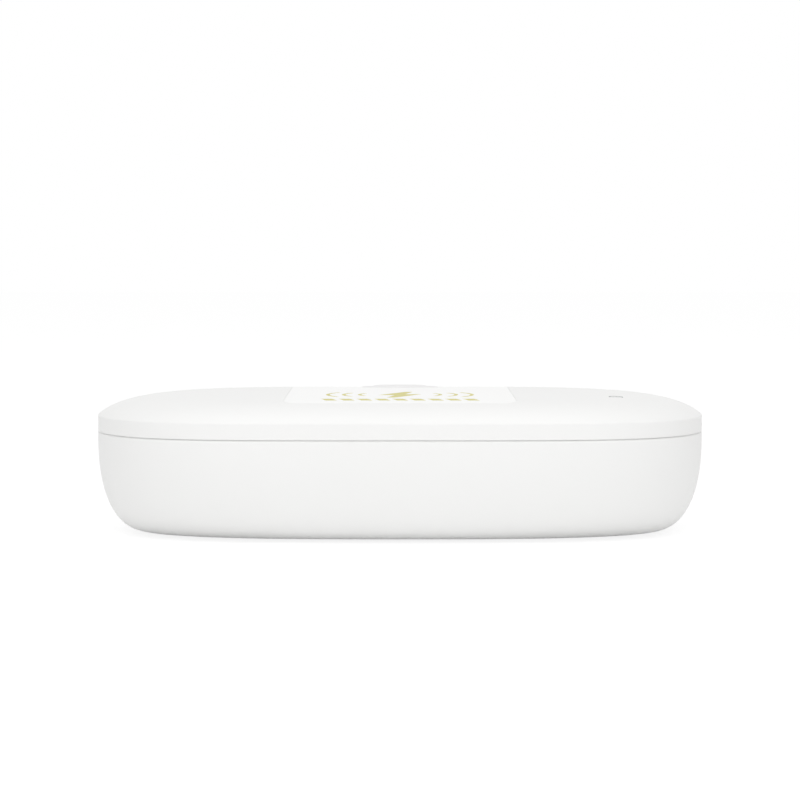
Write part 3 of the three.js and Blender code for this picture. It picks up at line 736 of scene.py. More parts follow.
def toned_over(material, mask, code):
    """Lays another tone over a finish, where a mask shows it."""
    tree = material.node_tree
    tone = tree.nodes["Principled BSDF"].inputs["Base Color"]
    tree.links.new(blended(tree, mask, tone.links[0].from_socket, colour(code)), tone)
    return material


def worn_finish(name, code, worn_code, roughness, grain, depth, wear):
    """A moulded finish whose outer edges are rubbed to another tone."""
    material = moulded_finish(name, code, roughness, grain, depth, drift=0.05, smear=0.1)
    mask = use_effect(material.node_tree, WEAR, Amount=wear).outputs["Mask"]
    return toned_over(material, mask, worn_code)


def printed_inlay(name):
    """The inlay's plastic, a little glossier than the shell, with the guide printed on it."""
    material = moulded_finish(
        name, "#f9f9f8", roughness=0.36, grain=3200.0, depth=0.003 * MM, drift=0.01, smear=0.05
    )
    tree = material.node_tree
    mask = use_effect(tree, GUIDE).outputs["Mask"]
    ink = ranged(tree, noise(tree, scale=900.0, detail=3.0), NOISE_SPAN, (0.94, 1.0))
    return toned_over(material, sums(tree, "MULTIPLY", mask, ink), "#c3b91a")


def mirror_finish(name):
    """Plastic with a metallised skin: bright, with a faint ripple and small flow marks."""
    material, tree, shader = new_finish(name, Metallic=1.0)
    flow = noise(tree, scale=38.0, detail=3.0, roughness=0.55)
    speck = noise(tree, scale=1400.0)
    share = ranged(tree, flow, NOISE_SPAN, WHOLE)
    tone = blended(tree, share, colour("#d3d6d9"), colour("#dfe1e3"))
    tree.links.new(tone, shader.inputs["Base Color"])
    tree.links.new(ranged(tree, flow, NOISE_SPAN, (0.14, 0.22)), shader.inputs["Roughness"])
    speck = sums(tree, "MULTIPLY", speck, 0.02)
    ripple = sums(tree, "ADD", noise(tree, scale=120.0, detail=1.0), speck)
    raised(tree, shader, ripple, distance=0.03 * MM)
    return material


def metal_finish(name, code, other_code, roughness, stretch):
    """Bare or plated metal, which drifts between two tones."""
    material, tree, shader = new_finish(name, Metallic=1.0)
    metal = use_effect(tree, METAL, Stretch=stretch, Roughness=roughness)
    drift = noise(tree, scale=320.0, detail=3.0)
    tone = blended(tree, drift, colour(code), colour(other_code))
    tree.links.new(tone, shader.inputs["Base Color"])
    tree.links.new(metal.outputs["Roughness"], shader.inputs["Roughness"])
    raised(tree, shader, metal.outputs["Height"], distance=0.002 * MM)
    return material


def board_finish(name, mask_code, track_code):
    """A printed circuit board."""
    material, tree, shader = new_finish(name, Coat_Weight=0.3)
    traces = use_effect(tree, TRACES, Mask_Color=colour(mask_code), Track_Color=colour(track_code))
    tree.links.new(traces.outputs["Color"], shader.inputs["Base Color"])
    for label in ("Metallic", "Roughness"):
        tree.links.new(traces.outputs[label], shader.inputs[label])
    raised(tree, shader, traces.outputs["Height"], distance=0.02 * MM)
    return material


def clear_finish(name, code, roughness, ior):
    """Glass or clear plastic, which lets the lamps' light through to what lies behind it."""
    material, tree, shader = new_finish(name, Transmission_Weight=1.0, IOR=ior)
    shader.inputs["Base Color"].default_value = colour(code)
    haze = noise(tree, scale=90.0, detail=3.0)
    haze = ranged(tree, haze, (0.35, 0.7), (roughness, roughness + 0.05))
    tree.links.new(haze, shader.inputs["Roughness"])
    raised(tree, shader, noise(tree, scale=700.0, detail=1.0), distance=0.001 * MM)
    path = add_node(tree, "ShaderNodeLightPath").outputs["Is Shadow Ray"]
    open_way = add_node(tree, "ShaderNodeBsdfTransparent", {"Color": colour(code)}).outputs[0]
    mixed = add_node(tree, "ShaderNodeMixShader", {0: path, 1: shader.outputs[0], 2: open_way})
    tree.links.new(mixed.outputs[0], tree.nodes["Material Output"].inputs["Surface"])
    return material


WHITE_PLASTIC = moulded_finish(
    "white satin plastic",
    "#f2f2f1",
    roughness=0.5,
    grain=2500.0,
    depth=0.004 * MM,
    drift=0.012,
    smear=0.06,
    Specular_IOR_Level=0.3,
)
INLAY_PLASTIC = printed_inlay("printed inlay")
STOP_SILICONE = moulded_finish(
    "stop silicone",
    "#efeeee",
    roughness=0.62,
    grain=1800.0,
    depth=0.006 * MM,
    drift=0.02,
    smear=0.08,
    Sheen_Weight=0.15,
)
MIRROR_PLASTIC = mirror_finish("metallised plastic")
GASKET_RUBBER = moulded_finish(
    "gasket rubber",
    "#b9bcbe",
    roughness=0.75,
    grain=1500.0,
    depth=0.012 * MM,
    drift=0.05,
    smear=0.1,
)
FOOT_RUBBER = worn_finish(
    "foot rubber", "#8d9092", "#a7a9aa", roughness=0.82, grain=1300.0, depth=0.02 * MM, wear=0.6
)
STEEL = metal_finish("steel", "#9a9da1", "#a8abae", roughness=0.34, stretch=(3000.0, 3000.0, 90.0))
MAGNET_PLATING = metal_finish(
    "nickel plating", "#85888c", "#909397", roughness=0.26, stretch=(200.0, 2600.0, 2600.0)
)
CIRCUIT_BOARD = board_finish("circuit board", "#1f6b45", "#2b7d53")
LAMP_BOARD = board_finish("lamp board", "#e4e5e3", "#d8dad8")
# Dark rubber for the button's ring: its dark colour is partly painted shade, standing in for the
# shade in the gap round the button
RING_RUBBER_AND_GAP_SHADE = moulded_finish(
    "ring rubber and painted gap shade", "#3c3e40", roughness=0.6, grain=1800.0, depth=0.006 * MM, drift=0.04, smear=0.08
)
BLACK_PLASTIC = worn_finish(
    "black plastic", "#1c1d1f", "#3a3b3d", roughness=0.48, grain=1600.0, depth=0.01 * MM, wear=0.4
)
LAMP_CERAMIC = moulded_finish(
    "lamp ceramic", "#e8e4d8", roughness=0.4, grain=2600.0, depth=0.004 * MM, drift=0.04, smear=0.08
)
WINDOW_GLASS = clear_finish("window glass", "#dfe9f2", roughness=0.02, ior=1.46)
CLEAR_ACRYLIC = clear_finish("clear acrylic", "#e6eef2", roughness=0.03, ior=1.49)
COPPER = metal_finish(
    "enamelled copper", "#b87342", "#c27f4c", roughness=0.32, stretch=(400.0, 400.0, 400.0)
)
FERRITE = moulded_finish(
    "ferrite", "#3a3a3c", roughness=0.58, grain=900.0, depth=0.02 * MM, drift=0.15, smear=0.12
)


# The base shell: a bowl with a ledge for the tub, hinge ears, and openings below and behind
CORNERS = ("front_left", "front_right", "rear_left", "rear_right")
LEDGE_INSET = 4.6 * MM
LEDGE_TOP = gasket_low.z - CLEARANCE - SHEET_WALL - CLEARANCE
LEDGE_HEIGHT = 1.6 * MM
BOWL_STEPS = 26

# A curve's rings end this far from the edge that it runs into
EDGE_ROOM = 1.2 * MM

# The shares at which a flat middle's rings are drawn in
BOTTOM_SHARES = (0.1, 0.5, 0.85, 0.97)
INNER_SHARES = (0.85, 0.5, 0.1)

# What the base's screws and feet need in the bowl
BASE_BOSS = 4.6 * MM
BASE_SHANK_HOLE = 1.8 * MM
BASE_HEAD = 1.9 * MM
HEAD_FLARE = 0.3 * MM
FOOT_GAP = 0.2 * MM
SOCKET_GAP = 0.25 * MM
SLOT_STEPS = 10


def bowl_rings(wall, depth, steps):
    """Rings down the bowl's wall and into its bottom, at even turns of the curve."""
    rings = []
    for i in range(1, steps + 1):
        turn = math.pi / 2 * i / steps
        share = math.sin(turn) ** (2 / BOWL_POWER)
        drawn_in = BOWL_INSET * (1 - max(math.cos(turn), 0) ** (2 / BOWL_POWER))
        rings.append(box_ring(drawn_in + wall, SEAM_Z - share * depth, share))
    return rings


def bowl_body():
    outer = rings_below(BASE_TOP - EDGE_ROOM, bowl_rings(0.0, BOWL_HEIGHT, BOWL_STEPS))
    inner = bowl_rings(SHELL_WALL, BOWL_HEIGHT - SHELL_WALL, BOWL_STEPS // 2)
    inner = rings_below(LEDGE_TOP - LEDGE_HEIGHT - 1 * MM, inner)
    fine = SEAM_EDGE / 2
    rim = [
        box_ring(0.0, BASE_TOP - SEAM_RUN),
        *rounded(0.0, BASE_TOP - SEAM_EDGE, SEAM_EDGE, BASE_TOP),
        box_ring(STEP_INSET - SEAM_EDGE / 4, BASE_TOP),
        *rounded(STEP_INSET, STEP_TOP - fine, STEP_INSET + fine, STEP_TOP, steps=2),
        *rounded(SHELL_WALL, STEP_TOP - fine, SHELL_WALL - fine, STEP_TOP, steps=2)[::-1],
        box_ring(SHELL_WALL, BASE_TOP - SEAM_RUN),
    ]
    ledge = [
        box_ring(SHELL_WALL, LEDGE_TOP),
        box_ring(LEDGE_INSET, LEDGE_TOP),
        box_ring(LEDGE_INSET, LEDGE_TOP - LEDGE_HEIGHT),
        box_ring(SHELL_WALL, LEDGE_TOP - LEDGE_HEIGHT),
    ]
    bottom = shrunk_rings(outer[-1], BOTTOM_SHARES)
    inner_floor = shrunk_rings(inner[-1], INNER_SHARES)
    return lofted("bowl_shell", [*bottom, *outer[::-1], *rim, *ledge, *inner, *inner_floor])


def rings_below(z, rings):
    return [points for points in rings if points[0][2] < z]


def shrunk_rings(points, shares):
    """A ring, drawn in towards the plan's centre to each share of its size."""
    centre = np.array([0.0, PLAN_Y, 0.0])
    return [(points - centre) * np.array([share, share, 1.0]) + centre for share in shares]


KNUCKLE_RADIUS = 2.4 * MM
KNUCKLE_GAP = 0.4 * MM
LID_KNUCKLE_WIDTH = 28 * MM
BASE_KNUCKLE_WIDTH = 14 * MM
KNUCKLE_STEPS = 18
GUSSET_DROP = 8 * MM
EAR_X = (LID_KNUCKLE_WIDTH + BASE_KNUCKLE_WIDTH) / 2 + KNUCKLE_GAP
EAR_ROOT = 1.6 * MM
HINGE_EDGE = 0.35 * MM
HINGE_EDGE_ANGLE = 50
PIN_HOLE = 1.3 * MM
PIN_REACH = pin_high.x + 4 * MM
WALL_Y = PLAN_Y + HALF_DEPTH

# Distances from the rear wall that the gusset's swoop and the knuckle's web pass through
SWOOP_FOOT = 0.55 * MM
SWOOP_PULL = 0.5 * MM
WEB_ROOT = 0.6 * MM


def knuckle_arc(from_degrees, to_degrees, radius=KNUCKLE_RADIUS):
    """Points of y and z round the hinge, from one angle above the rear to another."""
    angles = np.radians(np.linspace(from_degrees, to_degrees, KNUCKLE_STEPS))
    return [(HINGE_Y + radius * math.cos(a), HINGE_Z + radius * math.sin(a)) for a in angles]


def bent(start, pull, end_pull, end, steps=10):
    """Points along a curve from start to end, which leaves and arrives towards its pulls."""
    points = []
    held = (start, pull, end_pull, end)
    for i in range(steps + 1):
        t = i / steps
        weights = ((1 - t) ** 3, 3 * t * (1 - t) ** 2, 3 * t * t * (1 - t), t**3)
        points.append(tuple(sum(w * p[k] for w, p in zip(weights, held)) for k in (0, 1)))
    return points


def hinge_bar(name, profile, x, width):
    """A soft-edged bar of the hinge, about a place on its axis."""
    bar = bar_along_x(name, profile, x - width / 2, x + width / 2)
    return softened(bar, HINGE_EDGE, 2, HINGE_EDGE_ANGLE)


def hinge_ear(side):
    """One of the base's two hinge ears, on a gusset that grows out of the wall."""
    low_z = BASE_TOP - GUSSET_DROP
    foot = (WALL_Y - SWOOP_FOOT, low_z)
    rear = (HINGE_Y + KNUCKLE_RADIUS, HINGE_Z)
    swoop = bent(foot, (WALL_Y + SWOOP_PULL, low_z + 4 * MM), (rear[0], HINGE_Z - 5.5 * MM), rear)
    profile = [
        (WALL_Y - EAR_ROOT, low_z + 0.6 * MM),
        *swoop[:-1],
        *knuckle_arc(0, 180),
        (WALL_Y - 0.75 * MM, BASE_TOP + SEAM_EDGE),
        (WALL_Y - EAR_ROOT, BASE_TOP - 2 * SEAM_EDGE),
    ]
    return hinge_bar(f"ear_{side}", profile, side * EAR_X, BASE_KNUCKLE_WIDTH)


def lying_drum(name, radius, low_x, high_x, y, z, sides=48):
    """A cylinder along X."""
    return started(
        name,
        bpy.ops.mesh.primitive_cylinder_add,
        vertices=sides,
        radius=radius,
        depth=high_x - low_x,
        location=((low_x + high_x) / 2, y, z),
        rotation=(0, math.pi / 2, 0),
    )


def pin_bore():
    """A cutter for the pin's hole."""
    return lying_drum("bore", PIN_HOLE, -PIN_REACH, PIN_REACH, HINGE_Y, HINGE_Z)


def flared_hole(name, radius, low, high, x, y, flare, flare_at, sides=48):
    """A cutter for a hole whose mouth opens out, at its top or at its bottom."""
    tool = drum(name, radius, low, high, x, y, sides)
    end = high if flare_at == "top" else low
    pick(tool, lambda centre, normal: abs(centre.z - end) < LEVEL and abs(normal.z) > ALONG)
    outside = THROUGH if flare_at == "top" else -THROUGH
    wide = (radius + flare) / radius
    lift(-math.copysign(flare, outside))
    extrude(z=math.copysign(flare, outside))
    swell(wide, wide, 1, (x, y, end))
    extrude(z=outside)
    leave_edit()
    return tool


def socket_mouth():
    """A cutter for the power socket's opening: a slot with round ends."""
    low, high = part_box("usb_socket")
    gap = Vector((SOCKET_GAP, 0, SOCKET_GAP))
    tool = block("mouth", low - gap, Vector((high.x, WALL_Y, high.z)) + gap)
    bevel_edges(tool, lambda centre, way: abs(way.y) > ALONG, (high.z - low.z) / 2, SLOT_STEPS)
    return tool


def bowl_shell():
    """The outer bowl."""
    shell = bowl_body()
    boss_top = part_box("main_board")[0].z - CLEARANCE
    bosses, cutters = [], []
    for corner in CORNERS:
        screw, foot = f"base_screw_{corner}", f"foot_{corner}"
        at = middle(screw).xy
        bosses.append(drum(f"boss_{corner}", BASE_BOSS, FLOOR_Z - SUNK, boss_top, *at, 48))
        cutters.append(drum("shank", BASE_SHANK_HOLE, FOOT_PROUD, boss_top + THROUGH, *at, 32))
        head = half_width(screw) + CLEARANCE
        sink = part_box(screw)[0].z + BASE_HEAD + CLEARANCE
        cutters.append(flared_hole("head", head, FOOT_PROUD, sink, *at, HEAD_FLARE, "bottom"))
        at = middle(foot).xy
        seat = half_width(foot) + FOOT_GAP
        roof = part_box(foot)[1].z + CLEARANCE
        cutters.append(flared_hole("seat", seat, FOOT_PROUD, roof, *at, FOOT_GAP, "bottom", 64))
    carve(shell, bosses, "UNION")
    carve(shell, [hinge_ear(-1), hinge_ear(1)], "UNION")
    for cutter in cutters:
        carve(shell, [cutter])
    carve(shell, [pin_bore(), socket_mouth()])
    return fitted(smoothed(shell), "base", "white_plastic", WHITE_PLASTIC, "base_shell")


# The lid: an upright wall, a dome, and recesses for the inlay and the button
INLAY_REACH = panel_reach(DIRECTIONS, INLAY_HALF_WIDTH, INLAY_HALF_DEPTH, INLAY_CORNER)
DOME_STEPS = 24
DOME_CROWDING = 1.7
LID_BOSS = 3 * MM
LID_PILOT = 1.6 * MM

# The shares of the recess, and of the dome's underside, at which their rings lie
RECESS_SHARES = (0.05, 0.4, 0.7, 0.9, 0.98, 1.0)
UNDER_SHARES = (0.998, 0.985, 0.965, 0.94, 0.91, 0.87, 0.8, 0.65, 0.35, 0.05)

# How far in and up from the rim the rings of its edge lie, in radii of the edge
RIM_TURN = ((0.3, 0.35), (0.0, -0.6), (0.0, -2.5))

# A soft dark ring, flush with the dome, seals the gap round the button; its dark colour is partly
# painted shade of that gap
RING_INNER = 2.3 * MM
RING_OUTER = 2.52 * MM
BUTTON_GAP = 0.06 * MM
RING_DEPTH = 0.45 * MM
RING_GAP = 0.03 * MM
RING_EDGE = 0.04 * MM
RING_BULGE = 0.02 * MM


def lid_body():
    recess = INLAY_REACH + INLAY_GAP
    first, last = recess + INLAY_EDGE * 2.5, RIM_REACH - RIM_EDGE * 2.2
    floor = [dome_ring(recess * share, RECESS_DEPTH) for share in RECESS_SHARES]
    lip = [
        dome_ring(recess, INLAY_EDGE * 2),
        dome_ring(recess, INLAY_EDGE),
        dome_ring(recess + INLAY_EDGE * 0.3, INLAY_EDGE * 0.3),
        dome_ring(recess + INLAY_EDGE),
        dome_ring(first),
    ]
    ways = [1 - (1 - i / DOME_STEPS) ** DOME_CROWDING for i in range(1, DOME_STEPS + 1)]
    dome = [dome_ring(first + (last - first) * way) for way in ways]
    edge = [
        dome_ring(RIM_REACH - RIM_EDGE),
        *[ring(RIM_REACH - RIM_EDGE * inwards, RIM_Z + RIM_EDGE * up) for inwards, up in RIM_TURN],
    ]
    wall = [
        box_ring(0.0, LID_BOTTOM + SEAM_RUN),
        *rounded(0.0, LID_BOTTOM + SEAM_EDGE, SEAM_EDGE, LID_BOTTOM),
        box_ring(2 * SEAM_EDGE, LID_BOTTOM),
        box_ring(SHELL_WALL - 2 * SEAM_EDGE, LID_BOTTOM),
        *rounded(SHELL_WALL, LID_BOTTOM + SEAM_EDGE, SHELL_WALL - SEAM_EDGE, LID_BOTTOM)[::-1],
        box_ring(SHELL_WALL, LID_BOTTOM + SEAM_RUN),
        box_ring(SHELL_WALL, RIM_Z - DOME_WALL - 2 * SEAM_EDGE),
    ]
    inside = outline_reach(DIRECTIONS, HALF_WIDTH - SHELL_WALL, HALF_DEPTH - SHELL_WALL)
    roof = RIM_Z - DOME_WALL
    under = [ring(inside * share, roof + dome_height(share)) for share in UNDER_SHARES]
    return lofted("lid_cap", [*floor, *lip, *dome, *edge, *wall, *under])


def lid_knuckle():
    """The lid's middle hinge knuckle, on a web that grows out of the lid's rear wall."""
    wall_y = WALL_Y - 0.7 * MM
    web_top = RIM_Z - 0.8 * MM
    top = (HINGE_Y, HINGE_Z + KNUCKLE_RADIUS)
    pulls = (HINGE_Y - 0.9 * MM, top[1]), (wall_y + 0.4 * MM, RIM_Z - 0.9 * MM)
    profile = [
        (wall_y - WEB_ROOT, HINGE_Z - KNUCKLE_RADIUS / 2),
        (wall_y, HINGE_Z - KNUCKLE_RADIUS / 2),
        *knuckle_arc(-110, 90),
        *bent(top, *pulls, (wall_y, web_top))[1:],
        (wall_y - WEB_ROOT, web_top),
    ]
    return hinge_bar("knuckle", profile, 0.0, LID_KNUCKLE_WIDTH)


def ear_room(side):
    """A cutter that clears the lid's wall round one ear."""
    room = KNUCKLE_RADIUS + KNUCKLE_GAP
    half = BASE_KNUCKLE_WIDTH / 2 + CLEARANCE
    below = LID_BOTTOM - 2 * THROUGH
    profile = knuckle_arc(0, 180, room)
    profile += [(HINGE_Y - room, below), (HINGE_Y + room, below)]
    return bar_along_x(f"room_{side}", profile, side * EAR_X - half, side * EAR_X + half)


def lid_cap():
    """The lid."""
    lid = lid_body()
    boss_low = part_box("lid_magnet")[0].z
    bosses, pilots = [], []
    for corner in CORNERS:
        at = middle(f"lid_screw_{corner}").xy
        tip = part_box(f"lid_screw_{corner}")[1].z
        roof = dome_z(*at) - DOME_WALL / 2
        bosses.append(drum(f"boss_{corner}", LID_BOSS, boss_low, roof, *at, 40))
        pilots.append(
            drum(f"pilot_{corner}", LID_PILOT, boss_low - THROUGH, tip + CLEARANCE, *at, 32)
        )
    carve(lid, bosses, "UNION")
    carve(lid, [lid_knuckle()], "UNION")
    carve(lid, [ear_room(-1), ear_room(1)])
    carve(lid, pilots)
    at = middle("power_button").xy
    surface = dome_z(*at)
    hole = drum("button_hole", RING_INNER, RIM_Z, surface + THROUGH, *at)
    seat_floor = surface - RING_DEPTH
    seat = drum("ring_seat", RING_OUTER + RING_GAP, seat_floor, surface + THROUGH, *at)
    carve(lid, [pin_bore(), seat])
    carve(lid, [hole])
    return fitted(smoothed(lid), "lid", "white_plastic", WHITE_PLASTIC, "lid_shell")


STOP_GAP = 0.12 * MM
INLAY_SHARES = (0.1, 0.4, 0.65, 0.8, 0.9, 0.96)

# The rings of the stop's crown: the share of its size, and the depth under the solid's top in mm
STOP_CROWN = (
    (0.985, 0.93), (0.96, 0.89), (0.93, 0.875), (0.9, 0.87), (0.79, 0.86),
    (0.755, 0.8), (0.73, 0.7), (0.7, 0.59), (0.66, 0.49), (0.61, 0.42),
    (0.55, 0.37), (0.47, 0.345), (0.36, 0.325), (0.22, 0.313), (0.06, 0.31),
)
STOP_BRIM = 1.0

# The button's flange, and how far in and up each ring of its cap lies from the one before it
FLANGE_THICKNESS = 0.9 * MM
FLANGE_EDGE = 0.15 * MM
CAP_SIDE = 0.25 * MM
CAP_CROWN = ((0.08, 0.15), (0.12, 0.06), (0.3, 0.0), (0.6, -0.03), (0.6, -0.02))
CAP_DEPTH = 0.6 * MM


def made_oval(piece, share, y):
    """Draws a round piece in along Y, about a line of the plan."""
    about = Matrix.Translation((0, y, 0))
    piece.data.transform(about @ Matrix.Diagonal((1, share, 1, 1)) @ about.inverted())
    return piece


def stop_place():
    """The stop's middle, its half width, and its depth as a share of its width."""
    low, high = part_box("rear_stop")
    return (low + high) / 2, (high.x - low.x) / 2, (high.y - low.y) / (high.x - low.x)


def inlay_panel():
    """The thin panel let into the dome, with a hole for the stop."""
    outer, edge = INLAY_REACH, INLAY_EDGE
    rings = [
        *[dome_ring(outer * share, INLAY_THICKNESS) for share in (*INLAY_SHARES, 1)],
        dome_ring(outer, edge),
        dome_ring(outer - 0.3 * edge, 0.3 * edge),
        dome_ring(outer - edge),
        dome_ring(outer - 3 * edge),
        *[dome_ring(outer * share) for share in INLAY_SHARES[::-1]],
    ]
    panel = lofted("inlay_panel", rings)
    at, half, share = stop_place()
    surface = dome_z(0, at.y)
    hole = flared_hole("stop_hole", half + STOP_GAP, RIM_Z, surface, 0, at.y, edge, "top", 128)
    carve(panel, [made_oval(hole, (half * share + STOP_GAP) / (half + STOP_GAP), at.y)])
    return fitted(smoothed(panel), "lid", "inlay_plastic", INLAY_PLASTIC, "charging_inlay")


def rear_stop():
    """The soft stop at the inlay's rear: a low oval crown on a brim that follows the dome."""
    low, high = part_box("rear_stop")
    at, half, share = stop_place()
    drop, reached = STOP_BRIM, 1.0
    stop = drum("rear_stop", half, low.z, high.z - drop * MM, 0, at.y, 128)
    pick(stop, lambda centre, normal: normal.z > ALONG)
    for size, depth in STOP_CROWN:
        extrude(z=(drop - depth) * MM)
        swell(size / reached, size / reached, 1, (0, at.y, 0))
        drop, reached = depth, size
    leave_edit()
    made_oval(stop, share, at.y)
    for vert in stop.data.vertices:
        if vert.co.z < low.z + LEVEL:
            vert.co.z = max(dome_z(*vert.co.xy) - INLAY_THICKNESS, low.z)
    return fitted(smoothed(stop, 50), "lid", "stop_silicone", STOP_SILICONE, "rear_stop")


def button_ring():
    """The soft ring let into the lid round the button; its dark colour is partly painted shade of
    the gap round the button.
    """
    at = middle("power_button")
    profile = [
        (RING_INNER, RING_DEPTH - RING_EDGE),
        (RING_INNER, RING_EDGE),
        (RING_INNER + RING_EDGE, 0.0),
        ((RING_INNER + RING_OUTER) / 2, -RING_BULGE),
        (RING_OUTER - RING_EDGE, 0.0),
        (RING_OUTER, RING_EDGE),
        (RING_OUTER, RING_DEPTH - RING_EDGE),
    ]
    angles = np.linspace(0, 2 * math.pi, 64, endpoint=False)
    rings = []
    for radius, drop in profile:
        x, y = at.x + radius * np.cos(angles), at.y + radius * np.sin(angles)
        z = [dome_z(*point) - drop for point in zip(x, y)]
        rings.append(np.column_stack((x, y, z)))
    ring_piece = smoothed(lofted("button_ring", rings, closed=True))
    return fitted(ring_piece, "lid", "foot_rubber", RING_RUBBER_AND_GAP_SHADE)


def button_cap():
    """The button: a cap that follows the dome, its stem, and the flange that keeps it in."""
    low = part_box("power_button")[0]
    at, radius = middle("power_button"), half_width("power_button")
    flange_top = low.z + FLANGE_THICKNESS
    cap = drum("button_cap", radius, low.z, flange_top, at.x, at.y)
    softened(cap, FLANGE_EDGE, 2)
    pick(cap, lambda centre, normal: normal.z > FLAT and centre.z > flange_top - LEVEL)
    inset(radius - FLANGE_EDGE - (RING_INNER - BUTTON_GAP))
    surface = dome_z(at.x, at.y)
    extrude(z=surface - CAP_SIDE - flange_top)
    for inwards, up in CAP_CROWN:
        inset(inwards * MM)
        lift(up * MM)
    leave_edit()
    for vert in cap.data.vertices:
        if vert.co.z > surface - CAP_DEPTH:
            vert.co.z += dome_z(*vert.co.xy) - surface
    return fitted(smoothed(cap), "power_button", "white_plastic", WHITE_PLASTIC, "power_button")


# The chamber: the tub, its seal, the lid's ceiling, and what lies in them
FLANGE_TOP = gasket_low.z - CLEARANCE
LIP_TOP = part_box("base_liner")[1].z
TUB_DEPTH = FLANGE_TOP - TUB_FLOOR
MOUTH_INSET = 9 * MM
TUB_SPAN = 15 * MM
TUB_ACROSS_POWER = 2.6
TUB_DOWN_POWER = 1.6
TUB_STEPS = 20
FLANGE_INSET = 2.6 * MM
LIP_OUTER = 4.4 * MM
LIP_INNER = 5.6 * MM
TUB_EDGE = 0.35 * MM
LIP_FILLET = 0.5 * MM
MOUTH_FILLET = 0.7 * MM
TUB_SHARES = (0.1, 0.5, 0.9)

# The posts for the base's screws, and the studs for the lamp boards
POST = 3.4 * MM
POST_PILOT = 1.8 * MM
PILOT_ROOF = 0.4 * MM
STUD = 1.5 * MM
STUD_INWARD = 16 * MM
WINDOW_HOLE = 5.3 * MM


def tub_wall(wall, drop):
    """Rings from the tub's mouth down its wall and on to its floor."""
    rings = []
    for i in range(1, TUB_STEPS + 1):
        turn = math.pi / 2 * i / TUB_STEPS
        across = 1 - max(math.cos(turn), 0) ** (2 / TUB_ACROSS_POWER)
        down = math.sin(turn) ** (2 / TUB_DOWN_POWER)
        drawn_in = MOUTH_INSET - wall + across * TUB_SPAN
        rings.append(box_ring(drawn_in, FLANGE_TOP - drop - down * TUB_DEPTH))
    return rings


def window_hole(low, high, x, y):
    """A cutter for the hole that a window lies in."""
    return drum("window_hole", WINDOW_HOLE, low - 2 * THROUGH, high + 2 * THROUGH, x, y)


def reflector_tub():
    """The tub that the phone lies in: floor, wall, flange and lip in one thin sheet."""
    inner = rings_below(FLANGE_TOP - EDGE_ROOM, tub_wall(0.0, 0.0))
    flange_low = FLANGE_TOP - SHEET_WALL
    outer = rings_below(flange_low - EDGE_ROOM, tub_wall(SHEET_WALL, SHEET_WALL))
    fine, lip_side = TUB_EDGE / 2, LIP_TOP - TUB_EDGE
    mouth_side = FLANGE_TOP - MOUTH_FILLET
    rings = [
        *shrunk_rings(outer[-1], TUB_SHARES),
        *outer[::-1],
        box_ring(MOUTH_INSET - SHEET_WALL, flange_low),
        box_ring(FLANGE_INSET, flange_low),
        *rounded(FLANGE_INSET, FLANGE_TOP - fine, FLANGE_INSET + fine, FLANGE_TOP, steps=2),
        box_ring(LIP_OUTER - fine, FLANGE_TOP),
        box_ring(LIP_OUTER, FLANGE_TOP + fine),
        box_ring(LIP_OUTER, LIP_TOP - 2 * TUB_EDGE),
        *rounded(LIP_OUTER, lip_side, LIP_OUTER + TUB_EDGE, LIP_TOP),
        *rounded(LIP_INNER, lip_side, LIP_INNER - TUB_EDGE, LIP_TOP)[::-1],
        box_ring(LIP_INNER, LIP_TOP - 2 * TUB_EDGE),
        box_ring(LIP_INNER, FLANGE_TOP + 2 * LIP_FILLET),
        *rounded(LIP_INNER, FLANGE_TOP + LIP_FILLET, LIP_INNER + LIP_FILLET, FLANGE_TOP),
        box_ring(MOUTH_INSET - EDGE_ROOM, FLANGE_TOP),
        *rounded(MOUTH_INSET, mouth_side, MOUTH_INSET - MOUTH_FILLET, FLANGE_TOP)[::-1],
        *inner,
        *shrunk_rings(inner[-1], TUB_SHARES[::-1]),
    ]
    tub = lofted("reflector_tub", rings)
    under = TUB_FLOOR - SHEET_WALL
    board_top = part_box("main_board")[1].z
    lamp_board_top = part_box("base_lamp_board")[1].z
    posts, cutters = [], []
    for corner in CORNERS:
        at = middle(f"base_screw_{corner}").xy
        posts.append(drum("post", POST, board_top + CLEARANCE, under + SUNK, *at, 40))
        cutters.append(drum("pilot", POST_PILOT, board_top, under - PILOT_ROOF, *at, 32))
    for side in ("left", "right"):
        x, y = middle(f"base_window_{side}").xy
        inward = x - math.copysign(STUD_INWARD, x)
        posts.append(drum("stud", STUD, lamp_board_top + CLEARANCE, under + SUNK, inward, y, 24))
        cutters.append(window_hole(under, TUB_FLOOR, x, y))
    carve(tub, posts, "UNION")
    carve(tub, cutters)
    return fitted(smoothed(tub), "base", "mirror_plastic", MIRROR_PLASTIC, "base_liner")


SEAL_OUTER = 2.7 * MM
SEAL_INNER = 3.9 * MM
SEAL_EDGE = 0.15 * MM
SEAL_SHOULDER = 0.45
BEAD_STEPS = 8


def rim_seal():
    """The soft strip on the tub's flange, with a round bead on top."""
    low, high = gasket_low.z, gasket_high.z
    shoulder = low + (high - low) * SEAL_SHOULDER
    half, centre = (SEAL_INNER - SEAL_OUTER) / 2, (SEAL_INNER + SEAL_OUTER) / 2
    turns = [math.pi * i / BEAD_STEPS for i in range(BEAD_STEPS + 1)]
    rings = [
        box_ring(SEAL_INNER - SEAL_EDGE, low),
        box_ring(SEAL_OUTER + SEAL_EDGE, low),
        box_ring(SEAL_OUTER, low + SEAL_EDGE),
        *[
            box_ring(centre - half * math.cos(turn), shoulder + (high - shoulder) * math.sin(turn))
            for turn in turns
        ],
        box_ring(SEAL_INNER, low + SEAL_EDGE),
    ]
    seal = smoothed(lofted("rim_seal", rings, closed=True), 60)
    return fitted(seal, "base", "gasket_rubber", GASKET_RUBBER, "rim_gasket")


